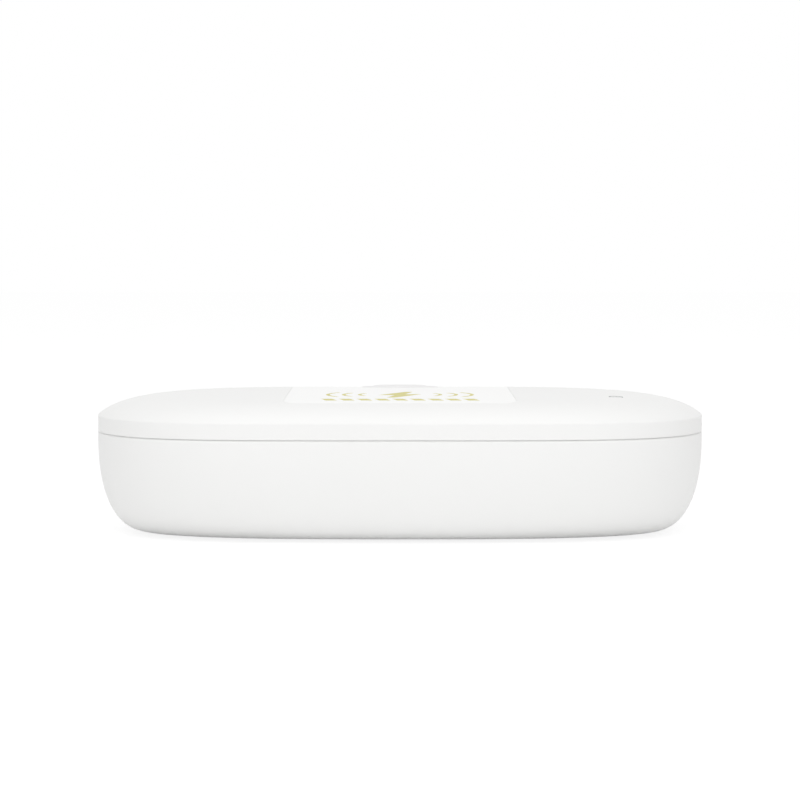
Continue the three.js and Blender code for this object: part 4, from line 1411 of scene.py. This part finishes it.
SKIRT_OUTER = 2.5 * MM
SKIRT_INNER = 3.5 * MM
SKIRT_TOP = RIM_Z - DOME_WALL - 0.4 * MM
SKIRT_EDGE = 0.3 * MM
PLATE_INSET = 5.6 * MM
PLATE_TOP_INSET = 4.6 * MM
PLATE_TOP = CEILING + 1 * MM


def chamber_ceiling():
    """The lid's bright ceiling: a shallow tray upside down, with a skirt round it."""
    plate, plate_top = box_ring(PLATE_INSET + 3 * MM, CEILING), box_ring(PLATE_TOP_INSET, PLATE_TOP)
    halfway = (PLATE_INSET + SKIRT_INNER) / 2, (CEILING + SKIRT_TOP) / 2
    side = LID_BOTTOM + SKIRT_EDGE
    rings = [
        *shrunk_rings(plate, INNER_SHARES[::-1]),
        plate,
        box_ring(PLATE_INSET + 1 * MM, CEILING),
        box_ring(PLATE_INSET, CEILING - 0.06 * MM),
        box_ring(halfway[0], halfway[1] - 0.15 * MM),
        box_ring(SKIRT_INNER + 0.25 * MM, SKIRT_TOP - 0.35 * MM),
        box_ring(SKIRT_INNER, SKIRT_TOP - 0.9 * MM),
        box_ring(SKIRT_INNER, LID_BOTTOM + 2 * SKIRT_EDGE),
        *rounded(SKIRT_INNER, side, SKIRT_INNER - SKIRT_EDGE, LID_BOTTOM),
        *rounded(SKIRT_OUTER, side, SKIRT_OUTER + SKIRT_EDGE, LID_BOTTOM)[::-1],
        box_ring(SKIRT_OUTER, LID_BOTTOM + 2 * SKIRT_EDGE),
        box_ring(SKIRT_OUTER, SKIRT_TOP),
        plate_top,
        *shrunk_rings(plate_top, (0.5, 0.1)),
    ]
    ceiling = lofted("chamber_ceiling", rings)
    stud_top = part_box("lid_lamp_board")[0].z - CLEARANCE
    studs, cutters = [], []
    for name in ("left", "middle", "right"):
        x, y = middle(f"lid_window_{name}").xy
        cutters.append(window_hole(CEILING, PLATE_TOP, x, y))
        if name != "middle":
            studs.append(drum("stud", STUD, PLATE_TOP - 0.4 * MM, stud_top, x / 2, y, 24))
    below, above = CEILING - 2 * THROUGH, PLATE_TOP + 2 * THROUGH
    for corner in CORNERS:
        at = middle(f"lid_screw_{corner}").xy
        cutters.append(drum("screw_hole", LID_PILOT, below, above, *at, 32))
    carve(ceiling, studs, "UNION")
    carve(ceiling, cutters)
    return fitted(smoothed(ceiling), "lid", "mirror_plastic", MIRROR_PLASTIC, "lid_liner")


RIB_CORNER = 3 * MM
RIB_EDGE = 0.22 * MM
ARCHES = 4
ARCH_SHARE = 0.18
ARCH_RISE = 4 * MM


def rest_rib():
    """A clear rib that a phone lies on, with arches for the light; modelled once and copied."""
    low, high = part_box("phone_rest_left")
    depth = high.y - low.y
    rib = block("rest_rib_left", low, high)
    bevel_edges(
        rib,
        lambda centre, way: abs(way.x) > ALONG and centre.z > high.z - LEVEL,
        RIB_CORNER,
        steps=8,
    )
    arches = []
    for i in range(ARCHES):
        arch = lying_drum(f"arch_{i}", 1, low.x - THROUGH, high.x + THROUGH, 0, 0, 64)
        arch.data.transform(Matrix.Diagonal((1, depth / 2 * ARCH_SHARE, ARCH_RISE, 1)))
        place = (0, low.y + (i + 0.5) * (depth / ARCHES), low.z)
        arch.data.transform(Matrix.Translation(place))
        arches.append(arch)
    carve(rib, arches)
    softened(rib, RIB_EDGE)
    fitted(smoothed(rib), "base", "clear_acrylic", CLEAR_ACRYLIC, "phone_rest_left")
    twin = copied(rib, "rest_rib_right", middle("phone_rest_right") - middle("phone_rest_left"))
    fitted(twin, "base", "clear_acrylic", CLEAR_ACRYLIC, "phone_rest_right")


def fitted_row(first, places, body, slot, finish):
    """Fits a piece at the first of its nodes, and a copy of it at each of the others."""
    start = middle(places[0][1])
    for name, node in places:
        piece = copied(first, name, middle(node) - start) if node != places[0][1] else first
        fitted(piece, body, slot, finish, node)


LAMP_PLACES = {"base": ("left", "right"), "lid": ("left", "middle", "right")}


def at_each_lamp(model, kind, label, slot, finish):
    """Models a piece at the first lamp of the base and of the lid, and copies it to the others."""
    for body, sides in LAMP_PLACES.items():
        places = [(f"{label}_{body}_{side}", f"{body}_{kind}_{side}") for side in sides]
        fitted_row(model(*places[0]), places, body, slot, finish)


GLASS_EDGE = 0.12 * MM
BEZEL_HOLE = 4.6 * MM
BEZEL_EDGE = 0.22 * MM

# A lamp's rim, the depth of its dish, the margin round its die, and the die's height
LAMP_EDGE = 0.08 * MM
LAMP_RIM = 0.45 * MM
DISH_DEPTH = 0.3 * MM
DISH_DRAFT = 0.86
DIE_MARGIN = 0.7 * MM
DIE_HEIGHT = 0.12 * MM


def window_disc(name, node):
    """A glass disc with ground edges."""
    low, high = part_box(node)
    disc = drum(name, half_width(node), low.z, high.z, *middle(node).xy, 80)
    return smoothed(softened(disc, GLASS_EDGE, 2))


def bezel_ring(name, node):
    """The ring that holds a window, with its open side bevelled."""
    low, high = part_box(node)
    made = drum(name, half_width(node), low.z, high.z, *middle(node).xy, 80)
    pick(made, lambda centre, normal: abs(normal.z) > ALONG)
    inset(half_width(node) - BEZEL_HOLE)
    bpy.ops.mesh.bridge_edge_loops()
    leave_edit()
    return smoothed(softened(made, BEZEL_EDGE))


def lamp_package(name, node):
    """A lamp: a ceramic dish with its die, facing into the chamber."""
    facing = 1 if node.startswith("base") else -1
    lamp = softened(block(name, *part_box(node)), LAMP_EDGE, 2)
    pick(lamp, lambda centre, normal: normal.z * facing > ALONG)
    inset(LAMP_RIM)
    extrude(z=-facing * DISH_DEPTH)
    swell(DISH_DRAFT, DISH_DRAFT, 1, middle(node))
    inset(DIE_MARGIN)
    extrude(z=facing * DIE_HEIGHT)
    leave_edit()
    return smoothed(lamp)


# Screws: the edge of the head, the plain length at the tip, the depth of the ridges and the tip's
# taper as shares of the shank, and the cross recess as shares of the head
HEAD_EDGE = 0.45 * MM
TIP_LENGTH = 0.4 * MM
RIDGE_CORE = 0.84
TIP_TAPER = 0.6
CROSS_WIDTH = 0.17
CROSS_REACH = 0.62
CROSS_DEPTH = 0.6
CROSS_TAPER = 0.7


def threaded_screw(name, node, shank, head_height, crests):
    """A pan-head screw, head down, with a cross recess and a ridged shank."""
    low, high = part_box(node)
    at, head = middle(node), half_width(node)
    screw = drum(name, head, low.z, low.z + head_height, at.x, at.y, 40)
    bevel_edges(screw, lambda centre, way: centre.z < low.z + LEVEL, HEAD_EDGE, steps=4)
    pick(screw, lambda centre, normal: normal.z > ALONG)
    inset(head - shank)
    pitch = (high.z - low.z - head_height - TIP_LENGTH) / crests
    for _ in range(crests):
        extrude(z=pitch / 4)
        swell(RIDGE_CORE, RIDGE_CORE, 1, at)
        extrude(z=pitch / 4)
        extrude(z=pitch / 2)
        swell(1 / RIDGE_CORE, 1 / RIDGE_CORE, 1, at)
    extrude(z=TIP_LENGTH)
    swell(TIP_TAPER, TIP_TAPER, 1, at)
    leave_edit()
    width, reach, deep = head * CROSS_WIDTH, head * CROSS_REACH, head_height * CROSS_DEPTH
    arms = []
    for x, y in ((reach, width), (width, reach)):
        low_corner = Vector((at.x - x, at.y - y, low.z - THROUGH))
        arms.append(block("arm", low_corner, Vector((at.x + x, at.y + y, low.z + deep))))
    carve(arms[0], [arms[1]], "UNION")
    pick(arms[0], lambda centre, normal: normal.z > ALONG)
    swell(CROSS_TAPER, CROSS_TAPER, 1, (at.x, at.y, low.z + deep))
    leave_edit()
    carve(screw, [arms[0]])
    return smoothed(screw, 40)


def case_screws():
    """The base's four screws and the ceiling's four, each kind modelled once and copied."""
    kinds = (
        ("base", "case_screw", 1.5 * MM, BASE_HEAD, 12),
        ("lid", "ceiling_screw", 1.3 * MM, 1.3 * MM, 5),
    )
    for body, label, *sizes in kinds:
        places = [(f"{label}_{corner}", f"{body}_screw_{corner}") for corner in CORNERS]
        fitted_row(threaded_screw(*places[0], *sizes), places, body, "steel", STEEL)


# A foot's edge, then how far in and up each ring of its dished sole lies
FOOT_EDGE = 0.3 * MM
SOLE_RINGS = ((1.1, 0.0), (0.5, 0.3), (1.2, 0.06))


def rubber_feet():
    """Four soft feet, each with a dished sole, modelled once and copied."""
    places = [(f"rubber_foot_{corner}", f"foot_{corner}") for corner in CORNERS]
    name, node = places[0]
    low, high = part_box(node)
    foot = drum(name, half_width(node), low.z, high.z, *middle(node).xy, 80)
    bevel_edges(foot, lambda centre, way: centre.z < low.z + LEVEL, FOOT_EDGE, steps=4)
    pick(foot, lambda centre, normal: normal.z < -FLAT and centre.z < low.z + LEVEL)
    for inwards, up in SOLE_RINGS:
        inset(inwards * MM)
        lift(up * MM)
    leave_edit()
    fitted_row(smoothed(foot), places, "base", "foot_rubber", FOOT_RUBBER)


def hinge_rod():
    """The hinge's pin, with domed ends."""
    at = middle("hinge_pin")
    radius = (pin_high.z - pin_low.z) / 2
    rod = lying_drum("hinge_rod", radius, pin_low.x, pin_high.x, at.y, at.z, 40)
    softened(rod, HINGE_EDGE, 4)
    return fitted(smoothed(rod, 50), "base", "steel", STEEL, "hinge_pin")


SOCKET_WALL = 0.35 * MM
SOCKET_BACK = 1 * MM
TONGUE_HALF_WIDTH = 3.2 * MM
TONGUE_HALF_HEIGHT = 0.35 * MM
TONGUE_LENGTH = 5.6 * MM
TONGUE_EDGE = 0.15 * MM
CONTACTS = 10
CONTACT_PITCH = 0.55
CONTACT_PLACE = 2.4 * MM
CONTACT_HALF = Vector((0.15 * MM, 1.6 * MM, 0.03 * MM))


def power_socket():
    """The power socket: a drawn steel shell with a tongue and its contacts inside."""
    low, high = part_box("usb_socket")
    shell = block("power_socket", low, high)
    corner = (high.z - low.z) / 2 * 0.98
    bevel_edges(shell, lambda centre, way: abs(way.y) > ALONG, corner, SLOT_STEPS)
    pick(shell, lambda centre, normal: normal.y > ALONG)
    inset(SOCKET_WALL)
    extrude(y=-(high.y - low.y - SOCKET_BACK))
    leave_edit()
    at = middle("usb_socket")
    back = low.y + SOCKET_BACK / 2
    half = Vector((TONGUE_HALF_WIDTH, 0, TONGUE_HALF_HEIGHT))
    root, tip = Vector((at.x, back, at.z)), Vector((at.x, back + TONGUE_LENGTH, at.z))
    tongue = softened(block("tongue", root - half, tip + half), TONGUE_EDGE, 2)
    carve(shell, [tongue], "UNION")
    contacts = []
    for i in range(CONTACTS):
        for side in (-1, 1):
            x = at.x + (i - (CONTACTS - 1) / 2) * CONTACT_PITCH * MM
            z = at.z + side * TONGUE_HALF_HEIGHT
            spot = Vector((x, back + TONGUE_LENGTH - CONTACT_PLACE, z))
            contacts.append(block("contact", spot - CONTACT_HALF, spot + CONTACT_HALF))
    carve(shell, contacts, "UNION")
    return fitted(smoothed(shell), "base", "steel", STEEL, "usb_socket")


COIL_HOLE = 9 * MM
COIL_TURNS = 12
TURN_STEPS = 40
WIRE_ROOM = 0.92
WIRE_SHARE = 0.9


def wound_coil():
    """The charging coil: one flat spiral of wire."""
    low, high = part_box("charge_coil")
    at = middle("charge_coil")
    wire = (high.z - low.z) / 2 * WIRE_ROOM
    inner, outer = COIL_HOLE + wire, half_width("charge_coil") - wire
    points = COIL_TURNS * TURN_STEPS
    path = bpy.data.curves.new("wound_coil", "CURVE")
    path.dimensions = "3D"
    path.bevel_depth = wire * WIRE_SHARE
    path.bevel_resolution = 2
    path.use_fill_caps = True
    line = path.splines.new("POLY")
    line.points.add(points)
    for i, point in enumerate(line.points):
        angle = 2 * math.pi * i / TURN_STEPS
        radius = inner + (outer - inner) * i / points
        x, y = at.x + radius * math.cos(angle), at.y + radius * math.sin(angle)
        point.co = (x, y, at.z, 1)
    only(new_object("wound_coil", path))
    bpy.ops.object.convert(target="MESH")
    coil = called(bpy.context.object, "wound_coil")
    return fitted(smoothed(coil, 60), "lid", "copper", COPPER, "charge_coil")


# The electronics: what lies on the boards
LEG_WIDTH = 0.32 * MM
LEG_THICKNESS = 0.16 * MM
LEG_REACH = 0.9 * MM

# The shares of a leg's reach before, in and after its bend
LEG_OUT = 0.3
LEG_BEND = 0.25
LEG_FOOT = 0.4

# A chip's body: its draft, its edges, and the dimple at its first leg
DRAFT = 0.95
CHIP_EDGE = 0.06 * MM
DIMPLE_RADIUS = 0.4 * MM
DIMPLE_PLACE = 0.9 * MM
DIMPLE_DEPTH = 0.08 * MM


def bent_leg(name, at, side, middle_z, foot_z):
    """One leg of a chip, bent to its pad, on the side that faces +X."""
    half, thick = LEG_WIDTH / 2, LEG_THICKNESS / 2
    low = Vector((side - thick, at.y - half, middle_z - thick))
    high = Vector((side + LEG_REACH * LEG_OUT, at.y + half, middle_z + thick))
    leg = block(name, low, high)
    pick(leg, lambda centre, normal: normal.x > ALONG)
    extrude(x=LEG_REACH * LEG_BEND, z=foot_z - middle_z)
    extrude(x=LEG_REACH * LEG_FOOT)
    leave_edit()
    return leg


def legs_round(name, at, leg, quarters, count, pitch):
    """Copies of a leg in a row, on each side that a quarter turn faces."""
    legs = []
    there, back = Matrix.Translation(at), Matrix.Translation(-at)
    for quarter in quarters:
        turn = there @ Matrix.Rotation(math.pi / 2 * quarter, 4, "Z") @ back
        for i in range(count):
            twin = copied(leg, name, (0, (i - (count - 1) / 2) * pitch, 0))
            twin.data.transform(turn)
            legs.append(twin)
    bpy.data.objects.remove(leg)
    return called(together(legs), name)


def chip(node, body, quarters, count, pitch):
    """A chip on bent legs, with drafted sides, and a dimple on the face away from its board."""
    low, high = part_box(node)
    at = (low + high) / 2
    facing = 1 if body == "base" else -1
    seat, face = (low.z, high.z) if facing > 0 else (high.z, low.z)
    reach_y = LEG_REACH if len(quarters) > 2 else 0
    drawn_in = Vector((LEG_REACH, reach_y, 0))
    leg_z = seat + facing * LEG_THICKNESS / 2
    ends = sorted((leg_z, at.z))
    first, last = (low + drawn_in).xy, (high - drawn_in).xy
    made = block(f"{node}_body", Vector((*first, ends[0])), Vector((*last, ends[1])))
    pick(made, lambda centre, normal: normal.z * facing < -ALONG)
    swell(DRAFT, DRAFT, 1, at)
    pick(made, lambda centre, normal: normal.z * facing > ALONG)
    extrude(z=face - at.z)
    swell(DRAFT, DRAFT, 1, at)
    leave_edit()
    softened(made, CHIP_EDGE, 2, 30)
    corner = low + drawn_in + Vector((DIMPLE_PLACE, DIMPLE_PLACE, 0))
    heights = sorted((face - facing * DIMPLE_DEPTH, face + facing * THROUGH))
    carve(made, [drum("dimple", DIMPLE_RADIUS, *heights, corner.x, corner.y, 24)])
    fitted(smoothed(made), body, "black_plastic", BLACK_PLASTIC, node)
    leg = bent_leg("leg", at, high.x - LEG_REACH, at.z, leg_z)
    legs = legs_round(f"{node}_legs", at, leg, quarters, count, pitch)
    fitted(legs, body, "steel", STEEL)


CAN_EDGE = 0.35 * MM
CAN_RIM = 1.1 * MM
CAN_DISH = 0.2 * MM
CAN_SHOULDER = 1.3 * MM
SOUND_HOLE = 0.8 * MM
SOUND_HOLE_DEPTH = 1.2 * MM


def sound_can():
    """The beeper: a round can with a soft edge, a shallow dish and a sound hole."""
    low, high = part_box("beeper")
    radius = half_width("beeper")
    can = drum("sound_can", radius, low.z, high.z, *middle("beeper").xy, 80)
    softened(can, CAN_EDGE, 4)
    pick(can, lambda centre, normal: normal.z > FLAT and centre.z > high.z - LEVEL)
    inset(CAN_RIM)
    inset(CAN_DISH, -CAN_DISH)
    inset(radius - CAN_EDGE - CAN_SHOULDER - SOUND_HOLE)
    extrude(z=-SOUND_HOLE_DEPTH)
    leave_edit()
    return fitted(smoothed(can), "base", "black_plastic", BLACK_PLASTIC, "beeper")


LINK_PINS = 4
PIN_HALF = 0.3 * MM
PIN_GAP = 0.04 * MM
PIN_PROUD = 0.7 * MM
PIN_EDGE = 0.1 * MM
HOUSING_EDGE = 0.15 * MM
GROOVE = Vector((0.3 * MM, 0.35 * MM, 0))


def square_post(name, x, y, half, low, high):
    """An upright square bar about a place, between two heights."""
    return block(name, Vector((x - half, y - half, low)), Vector((x + half, y + half, high)))


def link_header():
    """The link between the two boards: a grooved housing, and a row of pins through it."""
    low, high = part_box("board_link")
    pitch = (high.x - low.x) / LINK_PINS
    proud = Vector((0, 0, PIN_PROUD))
    housing = softened(block("link_housing", low + proud, high - proud), HOUSING_EDGE, 2)
    bottom, top = Vector((0, 0, low.z)), Vector((0, 0, high.z))
    cutters, pins = [], []
    for i in range(LINK_PINS):
        x, y = low.x + (i + 0.5) * pitch, (low.y + high.y) / 2
        cutters.append(square_post("pin_hole", x, y, PIN_HALF + PIN_GAP, low.z, high.z))
        pins.append(softened(square_post("pin", x, y, PIN_HALF, low.z, high.z), PIN_EDGE, 2))
        if i:
            for side_y in (low.y, high.y):
                spot = Vector((low.x + i * pitch, side_y, 0))
                cutters.append(block("groove", spot - GROOVE + bottom, spot + GROOVE + top))
    carve(housing, cutters)
    fitted(smoothed(housing), "base", "lamp_ceramic", LAMP_CERAMIC, "board_link")
    row = called(together(pins), "link_pins")
    fitted(smoothed(row), "base", "steel", STEEL)


SENSOR_LEG = Vector((0.25 * MM, 0.2 * MM, 0))
SENSOR_LEG_HEIGHT = 1.8 * MM
SENSOR_LEG_PITCH = 1.8
SENSOR_LEG_EDGE = 0.06 * MM
SENSOR_LEG_SUNK = 0.1 * MM
SENSOR_CORNER = 0.7 * MM
SENSOR_EDGE = 0.12 * MM


def closing_sensor():
    """The sensor that feels the lid's magnet: a flat moulded body on three legs."""
    low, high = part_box("lid_sensor")
    legs_high = low.z + SENSOR_LEG_HEIGHT
    body = block("sensor_body", Vector((low.x, low.y, legs_high)), high)
    bevel_edges(
        body,
        lambda centre, way: abs(way.z) > ALONG and centre.y < low.y + LEVEL,
        SENSOR_CORNER,
        steps=1,
    )
    softened(body, SENSOR_EDGE, 2, 30)
    fitted(smoothed(body), "base", "black_plastic", BLACK_PLASTIC, "lid_sensor")
    at = middle("lid_sensor")
    bottom, top = Vector((0, 0, low.z)), Vector((0, 0, legs_high + SENSOR_LEG_SUNK))
    legs = []
    for i in (-1, 0, 1):
        spot = Vector((at.x + i * SENSOR_LEG_PITCH * MM, at.y, 0))
        legs.append(block("sensor_leg", spot - SENSOR_LEG + bottom, spot + SENSOR_LEG + top))
    row = called(together(legs), "sensor_legs")
    fitted(softened(row, SENSOR_LEG_EDGE, 2), "base", "steel", STEEL)


# The switch: its steel cover, the rivets through it, and the well round its plunger
COVER_SINK = 0.06 * MM
COVER_THICKNESS = 0.16 * MM
COVER_INSET = 0.25 * MM
COVER_CORNER = 0.5 * MM
COVER_GAP = 0.2 * MM
SWITCH_EDGE = 0.3 * MM
RIVET = 0.45 * MM
RIVET_GAP = 0.03 * MM
RIVET_INWARD = 0.95 * MM
WELL_DEPTH = 0.9 * MM
PLUNGER_RIM = 0.35 * MM
PLUNGER_EDGE = 0.2 * MM


def push_switch():
    """The switch under the button: a riveted base, its steel cover, and its plunger."""
    low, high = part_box("button_switch")
    plunger_low, plunger_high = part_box("switch_plunger")
    at = middle("button_switch").xy
    radius = half_width("switch_plunger")
    cover_high = high.z - COVER_SINK
    cover_low = cover_high - COVER_THICKNESS
    above = high.z + THROUGH
    body = softened(block("switch_base", low, Vector((high.x, high.y, cover_low))), SWITCH_EDGE)
    reach = half_width("button_switch") - RIVET_INWARD
    spots = [(at.x + sx * reach, at.y + sy * reach) for sx in (-1, 1) for sy in (-1, 1)]
    rivet_low = cover_low - CLEARANCE
    carve(body, [drum("rivet", RIVET, rivet_low, high.z, *spot, 24) for spot in spots], "UNION")
    well_low = plunger_low.z - WELL_DEPTH
    carve(body, [drum("well", radius + CLEARANCE, well_low, above, *at)])
    fitted(smoothed(body), "lid", "black_plastic", BLACK_PLASTIC, "button_switch")
    edge = Vector((COVER_INSET, COVER_INSET, 0))
    first, last = (low + edge).xy, (high - edge).xy
    cover = block("switch_cover", Vector((*first, cover_low)), Vector((*last, cover_high)))
    bevel_edges(cover, lambda centre, way: abs(way.z) > ALONG, COVER_CORNER, steps=4)
    holes = [drum("rivet_hole", RIVET + RIVET_GAP, low.z, above, *spot, 24) for spot in spots]
    carve(cover, [*holes, drum("well", radius + COVER_GAP, low.z, above, *at)])
    fitted(smoothed(cover), "lid", "steel", STEEL)
    plunger = drum("plunger", radius, plunger_low.z, plunger_high.z, *at)
    pick(plunger, lambda centre, normal: normal.z > ALONG)
    inset(PLUNGER_RIM)
    leave_edit()
    softened(plunger, PLUNGER_EDGE)
    smoothed(plunger)
    return fitted(plunger, "power_button", "black_plastic", BLACK_PLASTIC, "switch_plunger")


MAGNET_EDGE = 0.3 * MM


def bar_magnets():
    """The two magnets that hold the box shut, each a plated bar with tumbled edges."""
    for body in ("base", "lid"):
        node = f"{body}_magnet"
        bar = softened(block(f"{node}_bar", *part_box(node)), MAGNET_EDGE, 4)
        fitted(smoothed(bar), body, "magnet_plating", MAGNET_PLATING, node)


# The small parts of the main board: their sizes, and how their rows stand round a chip
PART_LENGTH = 1.6 * MM
PART_WIDTH = 0.8 * MM
PART_HEIGHT = 0.5 * MM
PART_CAP = 0.02 * MM
PART_EDGE = 0.05 * MM
PART_PITCH = 2.4
ROW_GAP = 2 * MM
ROW_FINISHES = {
    "resistors": ("black_plastic", BLACK_PLASTIC),
    "capacitors": ("lamp_ceramic", LAMP_CERAMIC),
}


def board_part(name, at):
    """A resistor or capacitor's body with a soldered cap on each end, on a board's top."""
    half = Vector((PART_LENGTH / 2, PART_WIDTH / 2, 0))
    part = block(name, at - half, at + half + Vector((0, 0, PART_HEIGHT)))
    pick(part, lambda centre, normal: abs(normal.x) > ALONG)
    bpy.ops.mesh.extrude_faces_move(TRANSFORM_OT_shrink_fatten={"value": PART_CAP})
    leave_edit()
    return softened(part, PART_EDGE, 2)


def board_parts():
    """Rows of small parts in front of and behind each chip on the main board, one kind to a row."""
    board_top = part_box("main_board")[1].z
    rows = {kind: [] for kind in ROW_FINISHES}
    for node, count in (("control_chip", 5), ("lamp_driver_chip", 3)):
        low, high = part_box(node)
        at = middle(node)
        for kind, y in (("resistors", low.y - ROW_GAP), ("capacitors", high.y + ROW_GAP)):
            for i in range(count):
                x = at.x + (i - (count - 1) / 2) * PART_PITCH * MM
                rows[kind].append(board_part(f"board_{kind}", Vector((x, y, board_top))))
    for kind, looks in ROW_FINISHES.items():
        row = called(together(rows[kind]), f"board_{kind}")
        fitted(smoothed(row), "base", *looks)


def dress_nodes():
    """Finishes for the frame's own nodes, which keep their shapes."""
    finishes = {
        "main_board": CIRCUIT_BOARD,
        "charge_board": CIRCUIT_BOARD,
        "button_board": CIRCUIT_BOARD,
        "base_lamp_board": LAMP_BOARD,
        "lid_lamp_board": LAMP_BOARD,
        "ferrite_sheet": FERRITE,
    }
    for name, node in frame["nodes"].items():
        if not node.get("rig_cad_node"):
            continue
        finish = finishes.get(name, BLACK_PLASTIC)
        node.data.materials.clear()
        node.data.materials.append(finish)


# The studio
LENS = 128.63
SENSOR = 36
CAMERA_BACK = 1002 * MM
CAMERA_UP = 103.2 * MM
CAMERA_PITCH = 0.0586
FARTHEST_SEEN = 20
WORLD_LEVEL = 0.66
FLOOR_SIZE = 8
FLOOR_SHADOW = 0.2
FLOOR_GLOW = 1.075


def camera():
    data = bpy.data.cameras.new("camera")
    data.lens = LENS
    data.sensor_width = SENSOR
    data.clip_end = FARTHEST_SEEN
    eye = new_object("camera", data)
    eye.location = (0, PLAN_Y - CAMERA_BACK, FOOT_PROUD + CAMERA_UP)
    eye.rotation_euler = (math.pi / 2 - CAMERA_PITCH, 0, 0)
    bpy.context.scene.camera = eye


def softbox(name, place, aim, width, height, power, seen=True):
    data = bpy.data.lights.new(name, "AREA")
    data.shape = "RECTANGLE"
    data.size = width
    data.size_y = height
    data.energy = power
    lamp = new_object(name, data)
    lamp.location = place
    lamp.rotation_euler = (Vector(aim) - Vector(place)).to_track_quat("-Z", "Y").to_euler()
    lamp.visible_camera = seen


def seen_directly(tree):
    """1 for rays from the camera, and for those that gloss or glass sends on."""
    path = add_node(tree, "ShaderNodeLightPath")
    seen = sums(tree, "MAXIMUM", path.outputs["Is Camera Ray"], path.outputs["Is Glossy Ray"])
    return sums(tree, "MAXIMUM", seen, path.outputs["Is Transmission Ray"])


def studio_world():
    world = bpy.data.worlds.new("studio")
    world.use_nodes = True
    tree = world.node_tree
    background = tree.nodes["Background"]
    seen = seen_directly(tree)
    background.inputs["Color"].default_value = (1, 1, 1, 1)
    tree.links.new(ranged(tree, seen, WHOLE, (WORLD_LEVEL, 1.0)), background.inputs["Strength"])
    bpy.context.scene.world = world


def studio_floor():
    """A pale floor, white to the camera apart from the object's shadow."""
    add = bpy.ops.mesh.primitive_plane_add
    floor = started("studio_floor", add, size=FLOOR_SIZE, location=(0, 0, 0))
    material = bpy.data.materials.new("studio floor")
    material.use_nodes = True
    tree = material.node_tree
    shader = tree.nodes["Principled BSDF"]
    shader.inputs["Base Color"].default_value = (1, 1, 1, 1)
    shader.inputs["Roughness"].default_value = 0.9
    shader.inputs["Specular IOR Level"].default_value = 0.0
    white = {"Color": (1, 1, 1, 1), "Strength": FLOOR_GLOW}
    glow = add_node(tree, "ShaderNodeEmission", white).outputs[0]
    share = ranged(tree, seen_directly(tree), WHOLE, (0.0, 1 - FLOOR_SHADOW))
    mixed = add_node(tree, "ShaderNodeMixShader", {0: share, 1: shader.outputs[0], 2: glow})
    tree.links.new(mixed.outputs[0], tree.nodes["Material Output"].inputs["Surface"])
    floor.data.materials.append(material)


def studio():
    bpy.context.scene.view_settings.view_transform = "Standard"
    camera()
    studio_world()
    studio_floor()
    box = (0, 0, 0.03)
    softbox("key", place=(0, -0.6, 1.5), aim=box, width=1.4, height=1.0, power=9.0)
    softbox("fill", place=(0, -1.4, 0.17), aim=box, width=1.8, height=0.3, power=1.2)
    under_skim = (0, -0.3601, 0)
    softbox(
        "skim",
        place=(0, -0.36, 0.13),
        aim=under_skim,
        width=0.9,
        height=0.3,
        power=0.19,
        seen=False,
    )


bowl_shell()
lid_cap()
inlay_panel()
rear_stop()
button_ring()
button_cap()
reflector_tub()
rim_seal()
chamber_ceiling()
rest_rib()
at_each_lamp(window_disc, "window", "window_disc", "window_glass", WINDOW_GLASS)
at_each_lamp(bezel_ring, "bezel", "bezel_ring", "white_plastic", WHITE_PLASTIC)
at_each_lamp(lamp_package, "uv_lamp", "lamp", "lamp_ceramic", LAMP_CERAMIC)
case_screws()
rubber_feet()
hinge_rod()
power_socket()
wound_coil()
chip("control_chip", "base", quarters=(0, 1, 2, 3), count=9, pitch=0.65 * MM)
chip("lamp_driver_chip", "base", quarters=(0, 2), count=4, pitch=1.27 * MM)
chip("charge_chip", "lid", quarters=(0, 1, 2, 3), count=7, pitch=0.65 * MM)
sound_can()
link_header()
closing_sensor()
push_switch()
bar_magnets()
board_parts()
dress_nodes()
studio()

leave_edit()
